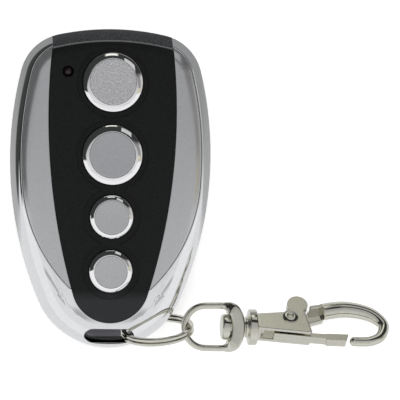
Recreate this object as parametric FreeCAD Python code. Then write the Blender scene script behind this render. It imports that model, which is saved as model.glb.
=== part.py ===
# Gate remote control with a split ring and a snap clasp, millimetres, +Z up.
# Origin: the middle of the back face, on the surface that the remote lies on.
# +Y points to the antenna end, +X to the side on which the chain lies.
import FreeCAD, Part
import math
import os

V = FreeCAD.Vector

# Plan outline of the remote: four arcs each side, tangent to each other
body_length = 60.0
half_width = 18.8
widest_y = 6.0
top_arc_radius = 47.0
shoulder_radius = 9.0
tail_radius = 14.3

# Height, crown and edges
face_height = 14.35
crown_radius = 125.0
front_edge_round = 5.0
back_edge_round = 4.2
parting_height = 5.4
skin_wall = 1.2
fit_gap = 0.06
back_wall = 1.2
carrier_wall = 1.2

# Tail: a scoop under the end lets the ring pass, and an oval slot runs through it
scoop_radius = 6.0
scoop_inset = 3.0
scoop_y = scoop_inset - body_length / 2
scoop_top = 4.6
slot_length = 8.9
slot_width = 3.0
slot_inset = 2.7
slot_y = slot_inset - body_length / 2
slot_height = 7.2
slot_wall = 0.8
slot_lip = 0.35

# Black face plate, a tongue with an arched top edge
face_half_width = 12.03
face_widest_y = 14.0
face_side_radius = 118.0
face_nose_radius = 7.25
face_nose_inset = 4.7
face_nose_y = face_nose_inset - body_length / 2
face_top_inset = 2.1
face_top_y = body_length / 2 - face_top_inset
face_top_radius = 45.5
face_ledge = 1.6

# Side panels between the face plate and the chrome frame
panel_inset = 1.8
panel_foot_x = 7.6
panel_foot_rise = 6.4
panel_foot_y = face_nose_y + panel_foot_rise
panel_turn_y = 2.0
panel_arc_radius = 30.0
frame_end_x = 11.25
seam = 0.1

# Buttons, from the antenna end to the tail: place as a share of the body's length, radius,
# disc radius, recess radius
button_shares = [0.3317, 0.1042, -0.09, -0.26]
button_places = [share * body_length for share in button_shares]
button_radii = [5.6, 5.6, 4.1, 4.05]
disc_radii = [4.4, 4.35, 3.25, 3.1]
recess_radii = [6.8, 6.8, 5.45, 5.4]
recess_depth = 0.3
button_clearance = 0.15
button_rise = 0.95
button_bevel_rise = 0.3
flange_width = 0.35
flange_thickness = 0.6
button_travel = 0.3
disc_thickness = 0.5
disc_gap = 0.03
post_radius = 1.6

# Indicator light
led_x = -8.4
led_inset = 8.1
led_y = body_length / 2 - led_inset
led_hole_radius = 1.08
led_clearance = 0.1
led_drop = 0.15

# Circuit board and what stands on it
board_top = 7.6
board_thickness = 0.8
board_margin = 3.5
board_left = -6.4
board_tail_inset = 12.4
board_tail_y = board_tail_inset - body_length / 2
board_head_inset = 5.4
board_head_y = body_length / 2 - board_head_inset
board_ear_half_width = 10.3
board_ear_length = 4.3
board_ear_y = board_head_y - board_ear_length
board_notch_gap = 0.4
board_post_x = 11.2
post_size = 1.1
switch_side = 6.0
switch_body_height = 1.6
plunger_radius = 1.5
plunger_top = 10.15
plunger_gap = 0.03
plunger_side_gap = 0.08
switch_leg_length = 0.7
switch_leg_width = 0.8
switch_leg_thickness = 0.3
switch_leg_spread = 2.25
switch_well = 0.5
solder_gap = 0.02

# Larger pieces on the board: place, then size
encoder_place = (7.4, 7.2)
encoder_size = (4.9, 4.0, 1.5)
encoder_pitch = 1.27
transistor_place = (6.8, 18.3)
transistor_size = (2.9, 1.3, 1.0)
transistor_pitch = 0.95
lead_width = 0.4
lead_reach = 1.0
lead_thickness = 0.2
package_lift = 0.1
saw_place = (7.6, 13.6)
saw_radius = 2.2
saw_height = 1.5
saw_round = 0.3
trimmer_place = (9.8, -5.6)
trimmer_radius = 2.0
trimmer_height = 1.2
trimmer_cut = (2.4, 0.5, 0.4)

# Chip resistors and capacitors, and the copper loop: first place, step, size
resistor_place = (5.2, -11.0)
resistor_size = (2.0, 1.25, 0.5)
capacitor_place = (-5.9, -10.0)
capacitor_size = (1.25, 2.0, 0.8)
small_part_step = 3.1
antenna_place = (10.1, -3.0)
antenna_length = 19.0
antenna_reach = 3.0
antenna_strip = 0.6
antenna_height = 1.4

# Battery, a 12 V cell beside the board, and its contacts
battery_radius = 3.95
battery_length = 27.4
battery_x = -10.9
battery_head_inset = 11.3
battery_head_y = body_length / 2 - battery_head_inset
battery_y = battery_head_y - battery_length / 2
battery_floor_gap = 0.2
battery_tip_radius = 2.4
battery_tip_length = 0.8
contact_thickness = 0.3
contact_side = 5.6
contact_gap = 0.05
contact_room = 0.25
contact_tail_height = 1.4
contact_foot_length = 1.6
cradle_width = 5.53
cradle_thickness = 1.0
cradle_height = 1.6
cradle_share = 0.3

# Screws and their bosses
screw_head_end_x = 12.3
screw_head_end_y = body_length / 2 - 7.7
screw_tail_end_x = 8.6
screw_tail_end_y = 10.7 - body_length / 2
screw_places = [(screw_head_end_x, screw_head_end_y), (-screw_head_end_x, screw_head_end_y),
                (screw_tail_end_x, screw_tail_end_y), (-screw_tail_end_x, screw_tail_end_y)]
screw_radius = 0.85
screw_head_radius = 1.6
screw_head_height = 1.0
screw_length = 8.4
screw_sink = 0.4
screw_cross_length = 1.9
screw_cross_width = 0.4
screw_cross_depth = 0.5
boss_radius = 2.0
thread_gap = 0.02

# Split ring
ring_radius = 6.4
ring_wire_width = 1.0
ring_wire_height = 0.74
ring_coil_gap = 0.04
ring_step_length = 1.6
ring_x = 9.2
ring_shift = 0.7
ring_y = slot_y + ring_shift
ring_lean = 70.0
ring_yaw = 6.0

# Swivel and clasp, along the chain axis that leaves the ring
chain_drop = 5.0
chain_roll = -38.0
loop_wire = 1.25
loop_width = 9.2
loop_length = 12.1
loop_web = 2.7
loop_web_height = 3.6
loop_clearance = 0.12
swivel_pin_radius = 1.0
swivel_pin_gap = 0.06
rivet_head_radius = 2.45
rivet_head_thickness = 1.4
washer_gap = 0.7
collar_radius = 3.4
collar_thickness = 1.5
plate_gap = 2.6
plate_thickness = 0.8
plate_length = 10.4
plate_start_low = -1.65
plate_start_high = 1.8
plate_end_low = -2.8
plate_end_high = 2.6
plate_end_lean = 1.15
yoke_thickness = 0.9
root_depth = 1.1
root_reach = 1.6
root_low = 1.0
root_rise = 0.9
# Middle line of the hook from the plates' ends and across, with its radius at each place
hook_line = [(0.0, 3.05, 1.25), (2.69, 3.74, 1.58), (6.1, 4.33, 1.55), (8.8, 4.14, 1.48),
             (11.4, 3.34, 1.35), (13.2, 1.98, 1.2), (14.05, 0.3, 1.07), (13.2, -2.0, 1.0),
             (11.35, -3.08, 0.95), (9.5, -3.26, 0.93), (8.1, -3.22, 0.93)]
hook_steps = 2
gate_thickness = 2.0
hub_relief = 0.9
hub_relief_gap = 0.6
gate_pivot_reach = 6.4
gate_pivot_v = 1.0
gate_hub_radius = 1.9
gate_tip_gap = 1.1
gate_tip_length = 4.3
gate_tip_lean = 0.6
gate_tip_v = -3.0
gate_step_v = -2.85
gate_bar_v = -2.75
gate_web_v = -2.5
gate_heel_v = -1.65
gate_heel_reach = 3.2
gate_heel_length = 1.1
gate_web_reach = 3.0
gate_neck_front = 1.8
gate_neck_back = 1.7
gate_bar_height = 1.1
gate_tip_height = 1.5
thumb_width = 3.8
thumb_reach = 6.75
thumb_shift = 1.6
thumb_neck_front = 1.5
thumb_neck_back = 1.6
eyelet_radius = 0.8
eyelet_bore = 0.45
eyelet_head_radius = 1.5
eyelet_head_thickness = 0.35
gate_pin_gap = 0.05
spring_wire = 0.4
spring_radius = 1.45
spring_gap = 0.05
spring_leg = 1.6


def arc_edge(start, middle, end):
    return Part.Arc(start, middle, end).toShape()


def arc_between(centre, radius, start_angle, end_angle):
    """An arc in the XY plane, its angles in radians."""
    turns = [start_angle, (start_angle + end_angle) / 2, end_angle]
    points = [centre + V(math.cos(a), math.sin(a), 0) * radius for a in turns]
    return arc_edge(*points)


def direction(start, end):
    return math.atan2(end.y - start.y, end.x - start.x)


def prism(wire, low, high):
    """The closed wire's face, moved to the height low and raised to high."""
    face = Part.Face(wire)
    face.translate(V(0, 0, low))
    return face.extrude(V(0, 0, high - low))


def mirrored(shape):
    return shape.mirror(V(0, 0, 0), V(1, 0, 0))


def turned_cylinder(radius, height, base, axis=V(0, 0, 1)):
    return Part.makeCylinder(radius, height, base, axis)


# Centres of the outline's arcs, shared by every wall that follows it
top_centre = V(0, body_length / 2 - top_arc_radius, 0)
tail_centre = V(0, tail_radius - body_length / 2, 0)
side_reach = tail_centre.y - widest_y
side_gap = half_width - tail_radius
side_radius = (side_reach ** 2 + half_width ** 2 - tail_radius ** 2) / (2 * side_gap)
side_centre = V(half_width - side_radius, widest_y, 0)


def shoulder_centre_of():
    """Centre of the arc that is tangent inside both the top arc and the side arc."""
    from_top = top_arc_radius - shoulder_radius
    from_side = side_radius - shoulder_radius
    base = side_centre - top_centre
    apart = base.Length
    along = (from_top ** 2 - from_side ** 2 + apart ** 2) / (2 * apart)
    across = math.sqrt(from_top ** 2 - along ** 2)
    base.normalize()
    square = V(base.y, -base.x, 0)
    first = top_centre + base * along + square * across
    second = top_centre + base * along - square * across
    return first if first.x > second.x else second


shoulder_centre = shoulder_centre_of()
shoulder_high = direction(top_centre, shoulder_centre)
shoulder_low = direction(side_centre, shoulder_centre)
tail_turn = direction(side_centre, tail_centre)


def outline(inset):
    """The remote's plan outline, moved in by inset, as a closed wire."""
    right_top = arc_between(top_centre, top_arc_radius - inset, shoulder_high, math.pi / 2)
    shoulder = arc_between(shoulder_centre, shoulder_radius - inset, shoulder_low, shoulder_high)
    side = arc_between(side_centre, side_radius - inset, tail_turn, shoulder_low)
    tail = arc_between(tail_centre, tail_radius - inset, -math.pi / 2, tail_turn)
    right = [tail, side, shoulder, right_top]
    left = [mirrored(edge) for edge in right]
    return Part.Wire(Part.__sortEdges__(right + left))


crown_centre = V(0, widest_y, face_height - crown_radius)


def crown_height(x, y):
    flat = x ** 2 + (y - crown_centre.y) ** 2
    return crown_centre.z + math.sqrt(crown_radius ** 2 - flat)


def rim_edges(solid, high):
    """Edges round the top or the bottom of a pebble, all off the vertical."""
    found = []
    middle = (solid.BoundBox.ZMax + solid.BoundBox.ZMin) / 2
    for edge in solid.Edges:
        box = edge.BoundBox
        flat = box.ZLength < (box.XLength + box.YLength)
        if flat and (box.Center.z > middle) == high and edge.Length > 0.01:
            found.append(edge)
    return found


def pebble(inset, floor):
    """The remote's rounded body, every surface moved in by inset, its floor at its own height."""
    block = prism(outline(inset), floor, face_height + 1)
    ball = Part.makeSphere(crown_radius - inset, crown_centre)
    body = block.common(ball)
    body = body.makeFillet(front_edge_round - inset, rim_edges(body, True))
    body = body.makeFillet(back_edge_round - inset, rim_edges(body, False))
    radius = scoop_radius + inset
    base = V(-body_length / 2, scoop_y, scoop_top - scoop_radius)
    scoop = turned_cylinder(radius, body_length, base, V(1, 0, 0))
    return body.cut(scoop)


def slab(low, high):
    return Part.makeBox(2 * body_length, 2 * body_length, high - low,
                        V(-body_length, -body_length, low))


def tongue(inset):
    """The face plate's plan outline, moved in by inset."""
    side_c = V(face_half_width - face_side_radius, face_widest_y, 0)
    nose_c = V(0, face_nose_y + face_nose_radius, 0)
    top_c = V(0, face_top_y - face_top_radius, 0)
    turn = direction(side_c, nose_c)
    # The side arc is shifted so that the nose arc meets it without a step
    reach = (nose_c - side_c).Length + face_nose_radius
    side_r = reach - inset
    nose_r = face_nose_radius - inset
    top_r = face_top_radius - inset
    apart = (top_c - side_c).Length
    along = (side_r ** 2 - top_r ** 2 + apart ** 2) / (2 * apart)
    across = math.sqrt(side_r ** 2 - along ** 2)
    unit = (top_c - side_c) * (1 / apart)
    square = V(-unit.y, unit.x, 0)
    corner = side_c + unit * along + square * across
    side = arc_between(side_c, side_r, turn, direction(side_c, corner))
    nose = arc_between(nose_c, nose_r, -math.pi / 2, turn)
    top = arc_between(top_c, top_r, direction(top_c, corner), math.pi / 2)
    right = [nose, side, top]
    left = [mirrored(edge) for edge in right]
    return Part.Wire(Part.__sortEdges__(right + left))


def panel_band(inset):
    """Plan region inside the chrome frame's inner line: face plate and side panels together."""
    foot = V(panel_foot_x - inset * 0.6, panel_foot_y, 0)
    high = outline_point_right(panel_inset + inset, panel_turn_y)
    chord = high - foot
    middle = (high + foot) * 0.5
    square = V(chord.y, -chord.x, 0)
    square.normalize()
    bulge = panel_arc_radius - math.sqrt(panel_arc_radius ** 2 - (chord.Length / 2) ** 2)
    lower = arc_edge(foot, middle + square * bulge, high)
    side_r = side_radius - panel_inset - inset
    shoulder_r = shoulder_radius - panel_inset - inset
    side = arc_between(side_centre, side_r, direction(side_centre, high), shoulder_low)
    shoulder = arc_between(shoulder_centre, shoulder_r, shoulder_low, shoulder_high)
    shoulder_end = shoulder.Vertexes[-1].Point
    if shoulder.Vertexes[0].Point.y > shoulder_end.y:
        shoulder_end = shoulder.Vertexes[0].Point
    top_middle = V(0, shoulder_end.y, 0)
    edges = [Part.makeLine(V(0, panel_foot_y, 0), foot), lower, side, shoulder,
             Part.makeLine(shoulder_end, top_middle)]
    left = [mirrored(edge) for edge in edges]
    return Part.Wire(Part.__sortEdges__(edges + left))


def outline_point_right(inset, y):
    """Point of the inset side arc at the height y in plan."""
    radius = side_radius - inset
    return V(side_centre.x + math.sqrt(radius ** 2 - (y - side_centre.y) ** 2), y, 0)


def slot_prism(widen, low, high):
    """The key ring slot's oval, widened all round, leaning like the ring, between two heights."""
    half = slot_width / 2 + widen
    reach = (slot_length - slot_width) / 2
    ends = [V(reach, 0, 0), V(-reach, 0, 0)]
    pieces = [arc_between(ends[0], half, -math.pi / 2, math.pi / 2),
              Part.makeLine(V(reach, half, 0), V(-reach, half, 0)),
              arc_between(ends[1], half, math.pi / 2, 3 * math.pi / 2),
              Part.makeLine(V(-reach, -half, 0), V(reach, -half, 0))]
    face = Part.Face(Part.Wire(pieces))
    slope = V(0, -math.cos(math.radians(ring_lean)) / math.sin(math.radians(ring_lean)), 1)
    face.translate(V(0, slot_y, slot_height) + slope * (low - slot_height))
    return face.extrude(slope * (high - low))


def surface_frame(y):
    """Base point on the crown at X 0, and the crown's outward normal there."""
    point = V(0, y, crown_height(0, y))
    normal = point - crown_centre
    normal.normalize()
    return point, normal


def upright(radius, y, low, high):
    """A cylinder square to the crown at y, from low to high above the surface."""
    point, normal = surface_frame(y)
    return turned_cylinder(radius, high - low, point + normal * low, normal)


def fused(shapes):
    whole = shapes[0]
    if len(shapes) > 1:
        whole = shapes[0].multiFuse(shapes[1:])
    return whole.removeSplitter()


def boss_holes(radius, low, high):
    return [turned_cylinder(radius, high - low, V(x, y, low)) for x, y in screw_places]


# Bodies that the shells are cut from
outer = pebble(0, 0)
under_skin = pebble(skin_wall + fit_gap, back_wall)
cavity = pebble(skin_wall + fit_gap + carrier_wall, back_wall)
above = slab(parting_height, face_height + 2)
below = slab(-1, parting_height)
top = face_height + 3


def top_band():
    """Region of the antenna end that the black carrier shows in, between the frame's two ends."""
    block = Part.makeBox(2 * frame_end_x, body_length / 2, top, V(-frame_end_x, face_widest_y, 0))
    return block.cut(prism(tongue(0), -1, top + 1))


def make_back_casing():
    shell = outer.common(below).cut(pebble(skin_wall, back_wall))
    posts = [turned_cylinder(boss_radius, parting_height - fit_gap, V(x, y, 0))
             for x, y in screw_places]
    tunnel = slot_prism(slot_wall, 0, parting_height - fit_gap)
    inside = [post.common(outer) for post in posts] + [tunnel.common(outer)]
    shell = fused([shell] + inside)
    cuts = boss_holes(screw_radius + fit_gap, -1, parting_height + 1)
    cuts += boss_holes(screw_head_radius + fit_gap, -1, screw_sink + screw_head_height)
    cuts.append(slot_prism(0, -1, top))
    return shell.cut(cuts)


def battery_room():
    """Room round the battery, and past its ends for the tip and both contacts."""
    past = contact_gap + contact_thickness + contact_room
    centre_z = back_wall + battery_floor_gap + battery_radius
    start = V(battery_x, battery_y - battery_length / 2 - past, centre_z)
    length = battery_length + battery_tip_length + 2 * past
    return turned_cylinder(battery_radius + battery_floor_gap, length, start, V(0, 1, 0))


def battery_cradle():
    """Two low ribs of the back casing, hollowed to the battery's round."""
    ribs = []
    for share in (-cradle_share, cradle_share):
        y = battery_y + share * battery_length
        corner = V(battery_x - cradle_width / 2, y - cradle_thickness / 2, back_wall / 2)
        ribs.append(Part.makeBox(cradle_width, cradle_thickness, cradle_height, corner))
    return ribs


def board_posts():
    """Posts of the back casing that carry the circuit board."""
    height = board_top - board_thickness - solder_gap
    left = board_left + 2 * post_size
    places = [(left, board_tail_y + boss_radius + post_size), (left, widest_y),
              (board_post_x, -widest_y), (board_post_x, 2 * widest_y)]
    return [turned_cylinder(post_size, height - back_wall / 2, V(x, y, back_wall / 2))
            for x, y in places]


def make_front_casing():
    shell = under_skin.common(above).cut(cavity)
    window = prism(tongue(face_ledge), parting_height, top)
    band = outer.common(above).common(top_band()).cut(cavity)
    tunnel = slot_prism(slot_wall, parting_height, top).common(under_skin)
    posts = []
    for x, y in screw_places:
        post = turned_cylinder(boss_radius, top, V(x, y, parting_height))
        posts.append(post.common(under_skin))
    shell = fused([shell.cut(window), band.cut(window), tunnel] + posts)
    cuts = boss_holes(screw_radius + thread_gap, parting_height - 1,
                      screw_sink + screw_length + 0.5)
    cuts.append(battery_room())
    cuts.append(slot_prism(0, -1, top))
    led_hole = turned_cylinder(led_hole_radius, top, V(led_x, led_y, parting_height))
    cuts.append(led_hole)
    return shell.cut(cuts)


def make_face_plate():
    inner = pebble(skin_wall, back_wall)
    plate = outer.cut(inner).common(prism(tongue(fit_gap / 2), parting_height + skin_wall, top))
    cuts = []
    for y, radius, recess in zip(button_places, button_radii, recess_radii):
        cuts.append(upright(radius + button_clearance, y, -3 * skin_wall, 2))
        cuts.append(upright(recess, y, -recess_depth, 2))
    cuts.append(turned_cylinder(led_hole_radius, top, V(led_x, led_y, parting_height)))
    return plate.cut(cuts)


def make_chrome_frame():
    skin = outer.cut(pebble(skin_wall, back_wall)).common(above)
    ring = skin.cut(prism(panel_band(0), 0, top)).cut(prism(tongue(0), 0, top))
    ring = ring.cut(top_band())
    return ring.cut(slot_prism(slot_lip, 0, top))


def make_side_panels():
    skin = outer.cut(pebble(skin_wall, back_wall)).common(above)
    both = skin.common(prism(panel_band(seam), 0, top)).cut(prism(tongue(-fit_gap / 2), 0, top))
    both = both.cut(top_band())
    solids = sorted(both.Solids, key=lambda s: s.Volume)[-2:]
    solids.sort(key=lambda s: s.CenterOfMass.x)
    return solids


def make_button(index):
    """Cap with its flange and post, and the satin disc let into its top."""
    y = button_places[index]
    radius = button_radii[index]
    disc = disc_radii[index]
    point, normal = surface_frame(y)
    flange_top = -skin_wall - fit_gap - (radius + flange_width) ** 2 / (2 * crown_radius)
    flange_low = flange_top - flange_thickness
    cap = upright(radius, y, flange_low, button_bevel_rise)
    bevel = Part.makeCone(radius, disc, button_rise - button_bevel_rise,
                          point + normal * button_bevel_rise, normal)
    flange = upright(radius + flange_width, y, flange_low, flange_top)
    post_top = point + normal * flange_low
    post_length = (post_top.z - plunger_top - plunger_gap) / normal.z
    post = turned_cylinder(post_radius, post_length, post_top - normal * post_length, normal)
    post_cut = slab(0, plunger_top + plunger_gap)
    cap = fused([cap, bevel, flange, post]).cut(post_cut)
    pocket = upright(disc, y, button_rise - disc_thickness, button_rise + 1)
    cap = cap.cut(pocket)
    inlay = upright(disc - disc_gap, y, button_rise - disc_thickness, button_rise)
    return cap, inlay


def make_led():
    """Round indicator: a stem from the board, a collar and a dome just under the hole's mouth."""
    radius = led_hole_radius - led_clearance
    dome_top = crown_height(led_x, led_y) - led_drop
    stem = turned_cylinder(radius, dome_top - radius - board_top,
                           V(led_x, led_y, board_top))
    dome = Part.makeSphere(radius, V(led_x, led_y, dome_top - radius))
    collar = turned_cylinder(radius * 1.25, 1.0, V(led_x, led_y, board_top))
    return fused([stem, dome, collar])


def make_board():
    low = board_top - board_thickness
    room = prism(outline(board_margin), low, board_top)
    main = Part.makeBox(body_length, board_ear_y - board_tail_y, board_thickness,
                        V(board_left, board_tail_y, low))
    ear = Part.makeBox(2 * board_ear_half_width, board_head_y - board_ear_y, board_thickness,
                       V(-board_ear_half_width, board_ear_y, low))
    board = room.common(fused([main, ear]))
    notches = [turned_cylinder(boss_radius + board_notch_gap, top, V(x, y, 0))
               for x, y in screw_places]
    return board.cut(notches)


def switch_point(index):
    """Where the button's post meets its switch, in plan."""
    point, normal = surface_frame(button_places[index])
    return point.y - normal.y / normal.z * (point.z - plunger_top)


def make_switch(index):
    y = switch_point(index)
    half = switch_side / 2
    body = Part.makeBox(switch_side, switch_side, switch_body_height,
                        V(-half, y - half, board_top))
    floor = board_top + switch_body_height - switch_well
    body = body.cut(turned_cylinder(plunger_radius + plunger_side_gap, 2 * switch_well,
                                    V(0, y, floor)))
    legs = []
    for x in (-half - switch_leg_length, half):
        for dy in (-switch_leg_spread, switch_leg_spread):
            corner = V(x, y + dy - switch_leg_width / 2, board_top)
            legs.append(Part.makeBox(switch_leg_length, switch_leg_width, switch_leg_thickness,
                                     corner))
    base = floor + button_travel + plunger_gap
    plunger = turned_cylinder(plunger_radius, plunger_top - base, V(0, y, base))
    return fused([body] + legs), plunger


def chip(place, size, legs, pitch):
    """A small moulded package on the board with legs along both long sides."""
    x, y = place
    length, width, height = size
    body = Part.makeBox(length, width, height - package_lift,
                        V(x - length / 2, y - width / 2, board_top + package_lift))
    leads = []
    for i in range(legs):
        at = x + (i - (legs - 1) / 2) * pitch
        corner = V(at - lead_width / 2, y - width / 2 - lead_reach, board_top)
        leads.append(Part.makeBox(lead_width, width + 2 * lead_reach, lead_thickness, corner))
    return fused([body] + leads)


def column(place, size, count):
    """A column of equal small boxes on the board."""
    boxes = [Part.makeBox(*size, V(place[0], place[1] + i * small_part_step, board_top))
             for i in range(count)]
    return Part.makeCompound(boxes)


def make_antenna():
    """A flat copper loop that stands on the board's free edge."""
    x, y = antenna_place
    high = y + antenna_length - antenna_strip
    strips = [Part.makeBox(antenna_strip, antenna_length, antenna_height,
                           V(x + antenna_reach - antenna_strip, y, board_top)),
              Part.makeBox(antenna_reach, antenna_strip, antenna_height, V(x, high, board_top)),
              Part.makeBox(antenna_reach, antenna_strip, antenna_height, V(x, y, board_top))]
    return fused(strips)


def make_battery():
    centre_z = back_wall + battery_floor_gap + battery_radius
    start = battery_y - battery_length / 2
    can = turned_cylinder(battery_radius, battery_length, V(battery_x, start, centre_z), V(0, 1, 0))
    tip = turned_cylinder(battery_tip_radius, battery_tip_length,
                          V(battery_x, start + battery_length, centre_z), V(0, 1, 0))
    return can.makeFillet(0.4, can.Edges[:1] + can.Edges[2:]), tip


def make_contacts():
    """Spring plates at the battery's two ends, each with a tail that reaches the board."""
    centre_z = back_wall + battery_floor_gap + battery_radius
    low_y = battery_y - battery_length / 2 - contact_gap - contact_thickness
    high_y = battery_y + battery_length / 2 + battery_tip_length + contact_gap
    plates = []
    tail_x = board_left
    low_z = board_top - board_thickness - solder_gap - contact_tail_height
    reach = tail_x + contact_foot_length - battery_x
    for y in (high_y, low_y):
        half = contact_side / 2
        plate = Part.makeBox(contact_side, contact_thickness, contact_side,
                             V(battery_x - half, y, centre_z - half))
        tail = Part.makeBox(reach, contact_thickness, contact_tail_height, V(battery_x, y, low_z))
        plates.append(fused([plate, tail]))
    return plates


def make_screws():
    screws = []
    for x, y in screw_places:
        head = turned_cylinder(screw_head_radius, screw_head_height, V(x, y, screw_sink))
        shank = turned_cylinder(screw_radius, screw_length - screw_head_height,
                                V(x, y, screw_sink + screw_head_height))
        long = screw_cross_length
        wide = screw_cross_width
        cross = fused([Part.makeBox(long, wide, screw_cross_depth,
                                    V(x - long / 2, y - wide / 2, screw_sink)),
                       Part.makeBox(wide, long, screw_cross_depth,
                                    V(x - wide / 2, y - long / 2, screw_sink))])
        screws.append(fused([head, shank]).cut(cross))
    return Part.makeCompound(screws)


def ring_placement():
    """Ring frame: local X runs to the chain, local Z is square to the ring's plane."""
    yaw = FreeCAD.Rotation(V(0, 0, 1), ring_yaw)
    lean = FreeCAD.Rotation(V(1, 0, 0), 180 - ring_lean)
    return FreeCAD.Placement(V(ring_x, ring_y, slot_height), yaw.multiply(lean))


def make_split_ring():
    """Two flat coils, one on the other, joined by a step where the strip changes coil."""
    half = ring_wire_width / 2
    bevel = ring_wire_height * 0.22
    coils = []
    for side in (-1, 1):
        low = ring_coil_gap / 2 if side > 0 else -ring_coil_gap / 2 - ring_wire_height
        high = low + ring_wire_height
        inner = ring_radius - half
        outer_r = ring_radius + half
        corners = [V(inner, 0, low + bevel), V(inner + bevel, 0, low), V(outer_r - bevel, 0, low),
                   V(outer_r, 0, low + bevel), V(outer_r, 0, high - bevel),
                   V(outer_r - bevel, 0, high), V(inner + bevel, 0, high),
                   V(inner, 0, high - bevel)]
        section = Part.Face(Part.makePolygon(corners + corners[:1]))
        coils.append(section.revolve(V(0, 0, 0), V(0, 0, 1), 360))
    step = Part.makeBox(ring_step_length, half, 2 * bevel + ring_coil_gap,
                        V(-ring_step_length / 2, ring_radius - half / 2,
                          -bevel - ring_coil_gap / 2))
    ring = fused(coils + [step])
    ring.Placement = ring_placement()
    return ring


def chain_placement():
    """Chain frame: local X along the chain, local Z square to the clasp's side plates."""
    tip = ring_placement().multVec(V(ring_radius, 0, 0))
    drop = FreeCAD.Rotation(V(0, 1, 0), chain_drop)
    start = tip - V(ring_wire_width / 2 + loop_clearance + loop_wire, 0, 0)
    return FreeCAD.Placement(start, drop)


def rolled_placement():
    base = chain_placement()
    roll = FreeCAD.Placement(V(0, 0, 0), FreeCAD.Rotation(V(1, 0, 0), chain_roll))
    return base.multiply(roll)


def flat_shape(wire, low, high):
    return prism(wire, low, high)


def polygon(points):
    corners = [V(u, v, 0) for u, v in points]
    return Part.makePolygon(corners + corners[:1])


def curve_wire(start, arcs):
    """Closed wire of arcs and lines: each item is (middle, end), or (None, end) for a line."""
    edges = []
    here = V(start[0], start[1], 0)
    for middle, end in arcs:
        there = V(end[0], end[1], 0)
        if middle is None:
            edges.append(Part.makeLine(here, there))
        else:
            edges.append(arc_edge(here, V(middle[0], middle[1], 0), there))
        here = there
    return Part.Wire(edges)


def rounded(solid, radius, low, high):
    """Fillet the edges that lie in the two flat faces of a plate."""
    edges = []
    for edge in solid.Edges:
        box = edge.BoundBox
        flat = box.ZLength < 1e-4
        if flat and (abs(box.ZMin - low) < 1e-4 or abs(box.ZMax - high) < 1e-4):
            edges.append(edge)
    return solid.makeFillet(radius, edges)


web_u = loop_length - loop_web - loop_wire * 0.25
collar_u = loop_length + washer_gap
plate_u = collar_u + collar_thickness
plate_end_u = plate_u + plate_length
gate_pivot_u = plate_u + gate_pivot_reach
gate_tip_u = plate_end_u + hook_line[-1][0] - gate_tip_gap


def make_swivel_loop():
    """A wire bow whose legs end in a thick curved web, drilled for the swivel's rivet."""
    half = loop_width / 2
    middle = half - loop_wire / 2
    bow_start = V(web_u + loop_web / 3, middle, 0)
    bow_end = V(web_u + loop_web / 3, -middle, 0)
    path = Part.Wire([Part.makeLine(bow_start, V(half, middle, 0)),
                      arc_edge(V(half, middle, 0), V(loop_wire / 2, 0, 0), V(half, -middle, 0)),
                      Part.makeLine(V(half, -middle, 0), bow_end)])
    section = Part.Wire(Part.makeCircle(loop_wire / 2, bow_start, V(1, 0, 0)))
    bow = path.makePipeShell([section], True, True)
    web_wire = curve_wire((web_u, half), [((loop_length, 0), (web_u, -half)), (None, (web_u, half))])
    web = flat_shape(web_wire, -loop_web_height / 2, loop_web_height / 2)
    web = rounded(web, 0.5, -loop_web_height / 2, loop_web_height / 2)
    bore = turned_cylinder(swivel_pin_radius + swivel_pin_gap, loop_length,
                           V(web_u - 1, 0, 0), V(1, 0, 0))
    loop = fused([bow, web]).cut(bore)
    loop.Placement = chain_placement()
    return loop


def make_swivel_rivet():
    head_u = web_u - swivel_pin_gap - rivet_head_thickness
    end_u = plate_u + yoke_thickness
    head = turned_cylinder(rivet_head_radius, rivet_head_thickness, V(head_u, 0, 0), V(1, 0, 0))
    head = head.makeFillet(rivet_head_thickness * 0.45,
                           [e for e in head.Edges if e.BoundBox.XMax < head_u + 1e-4])
    shank = turned_cylinder(swivel_pin_radius, end_u - head_u - 1, V(head_u + 1, 0, 0), V(1, 0, 0))
    foot = turned_cylinder(swivel_pin_radius * 1.2, 0.5, V(end_u, 0, 0), V(1, 0, 0))
    rivet = fused([head, shank, foot])
    rivet.Placement = rolled_placement()
    return rivet


def make_swivel_collar():
    """Disc with a narrow washer shoulder that faces the loop."""
    shoulder = washer_gap - swivel_pin_gap
    disc = turned_cylinder(collar_radius, collar_thickness, V(collar_u, 0, 0), V(1, 0, 0))
    disc = disc.makeChamfer(0.35, [e for e in disc.Edges if e.BoundBox.XLength < 1e-4])
    washer = turned_cylinder(swivel_pin_radius * 2, shoulder, V(collar_u - shoulder, 0, 0), V(1, 0, 0))
    bore = turned_cylinder(swivel_pin_radius + thread_gap, 4, V(collar_u - 2, 0, 0), V(1, 0, 0))
    collar = fused([disc, washer]).cut(bore)
    collar.Placement = rolled_placement()
    return collar


def make_hook():
    """The hook's bow, round in section and thinner towards its rounded tip."""
    points = [V(plate_end_u + u, v, 0) for u, v, r in hook_line]
    line = Part.BSplineCurve()
    line.interpolate(points)
    places = [line.parameter(point) for point in points]
    sections = []
    for i in range(len(points) - 1):
        for part in range(hook_steps):
            share = part / hook_steps
            place = places[i] * (1 - share) + places[i + 1] * share
            radius = hook_line[i][2] * (1 - share) + hook_line[i + 1][2] * share
            sections.append(Part.makeCircle(radius, line.value(place), line.tangent(place)[0]))
    sections.append(Part.makeCircle(hook_line[-1][2], points[-1], line.tangent(places[-1])[0]))
    bow = Part.makeLoft([Part.Wire(circle) for circle in sections], True, True)
    tip = Part.makeSphere(hook_line[-1][2], points[-1])
    return bow.fuse(tip)


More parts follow.
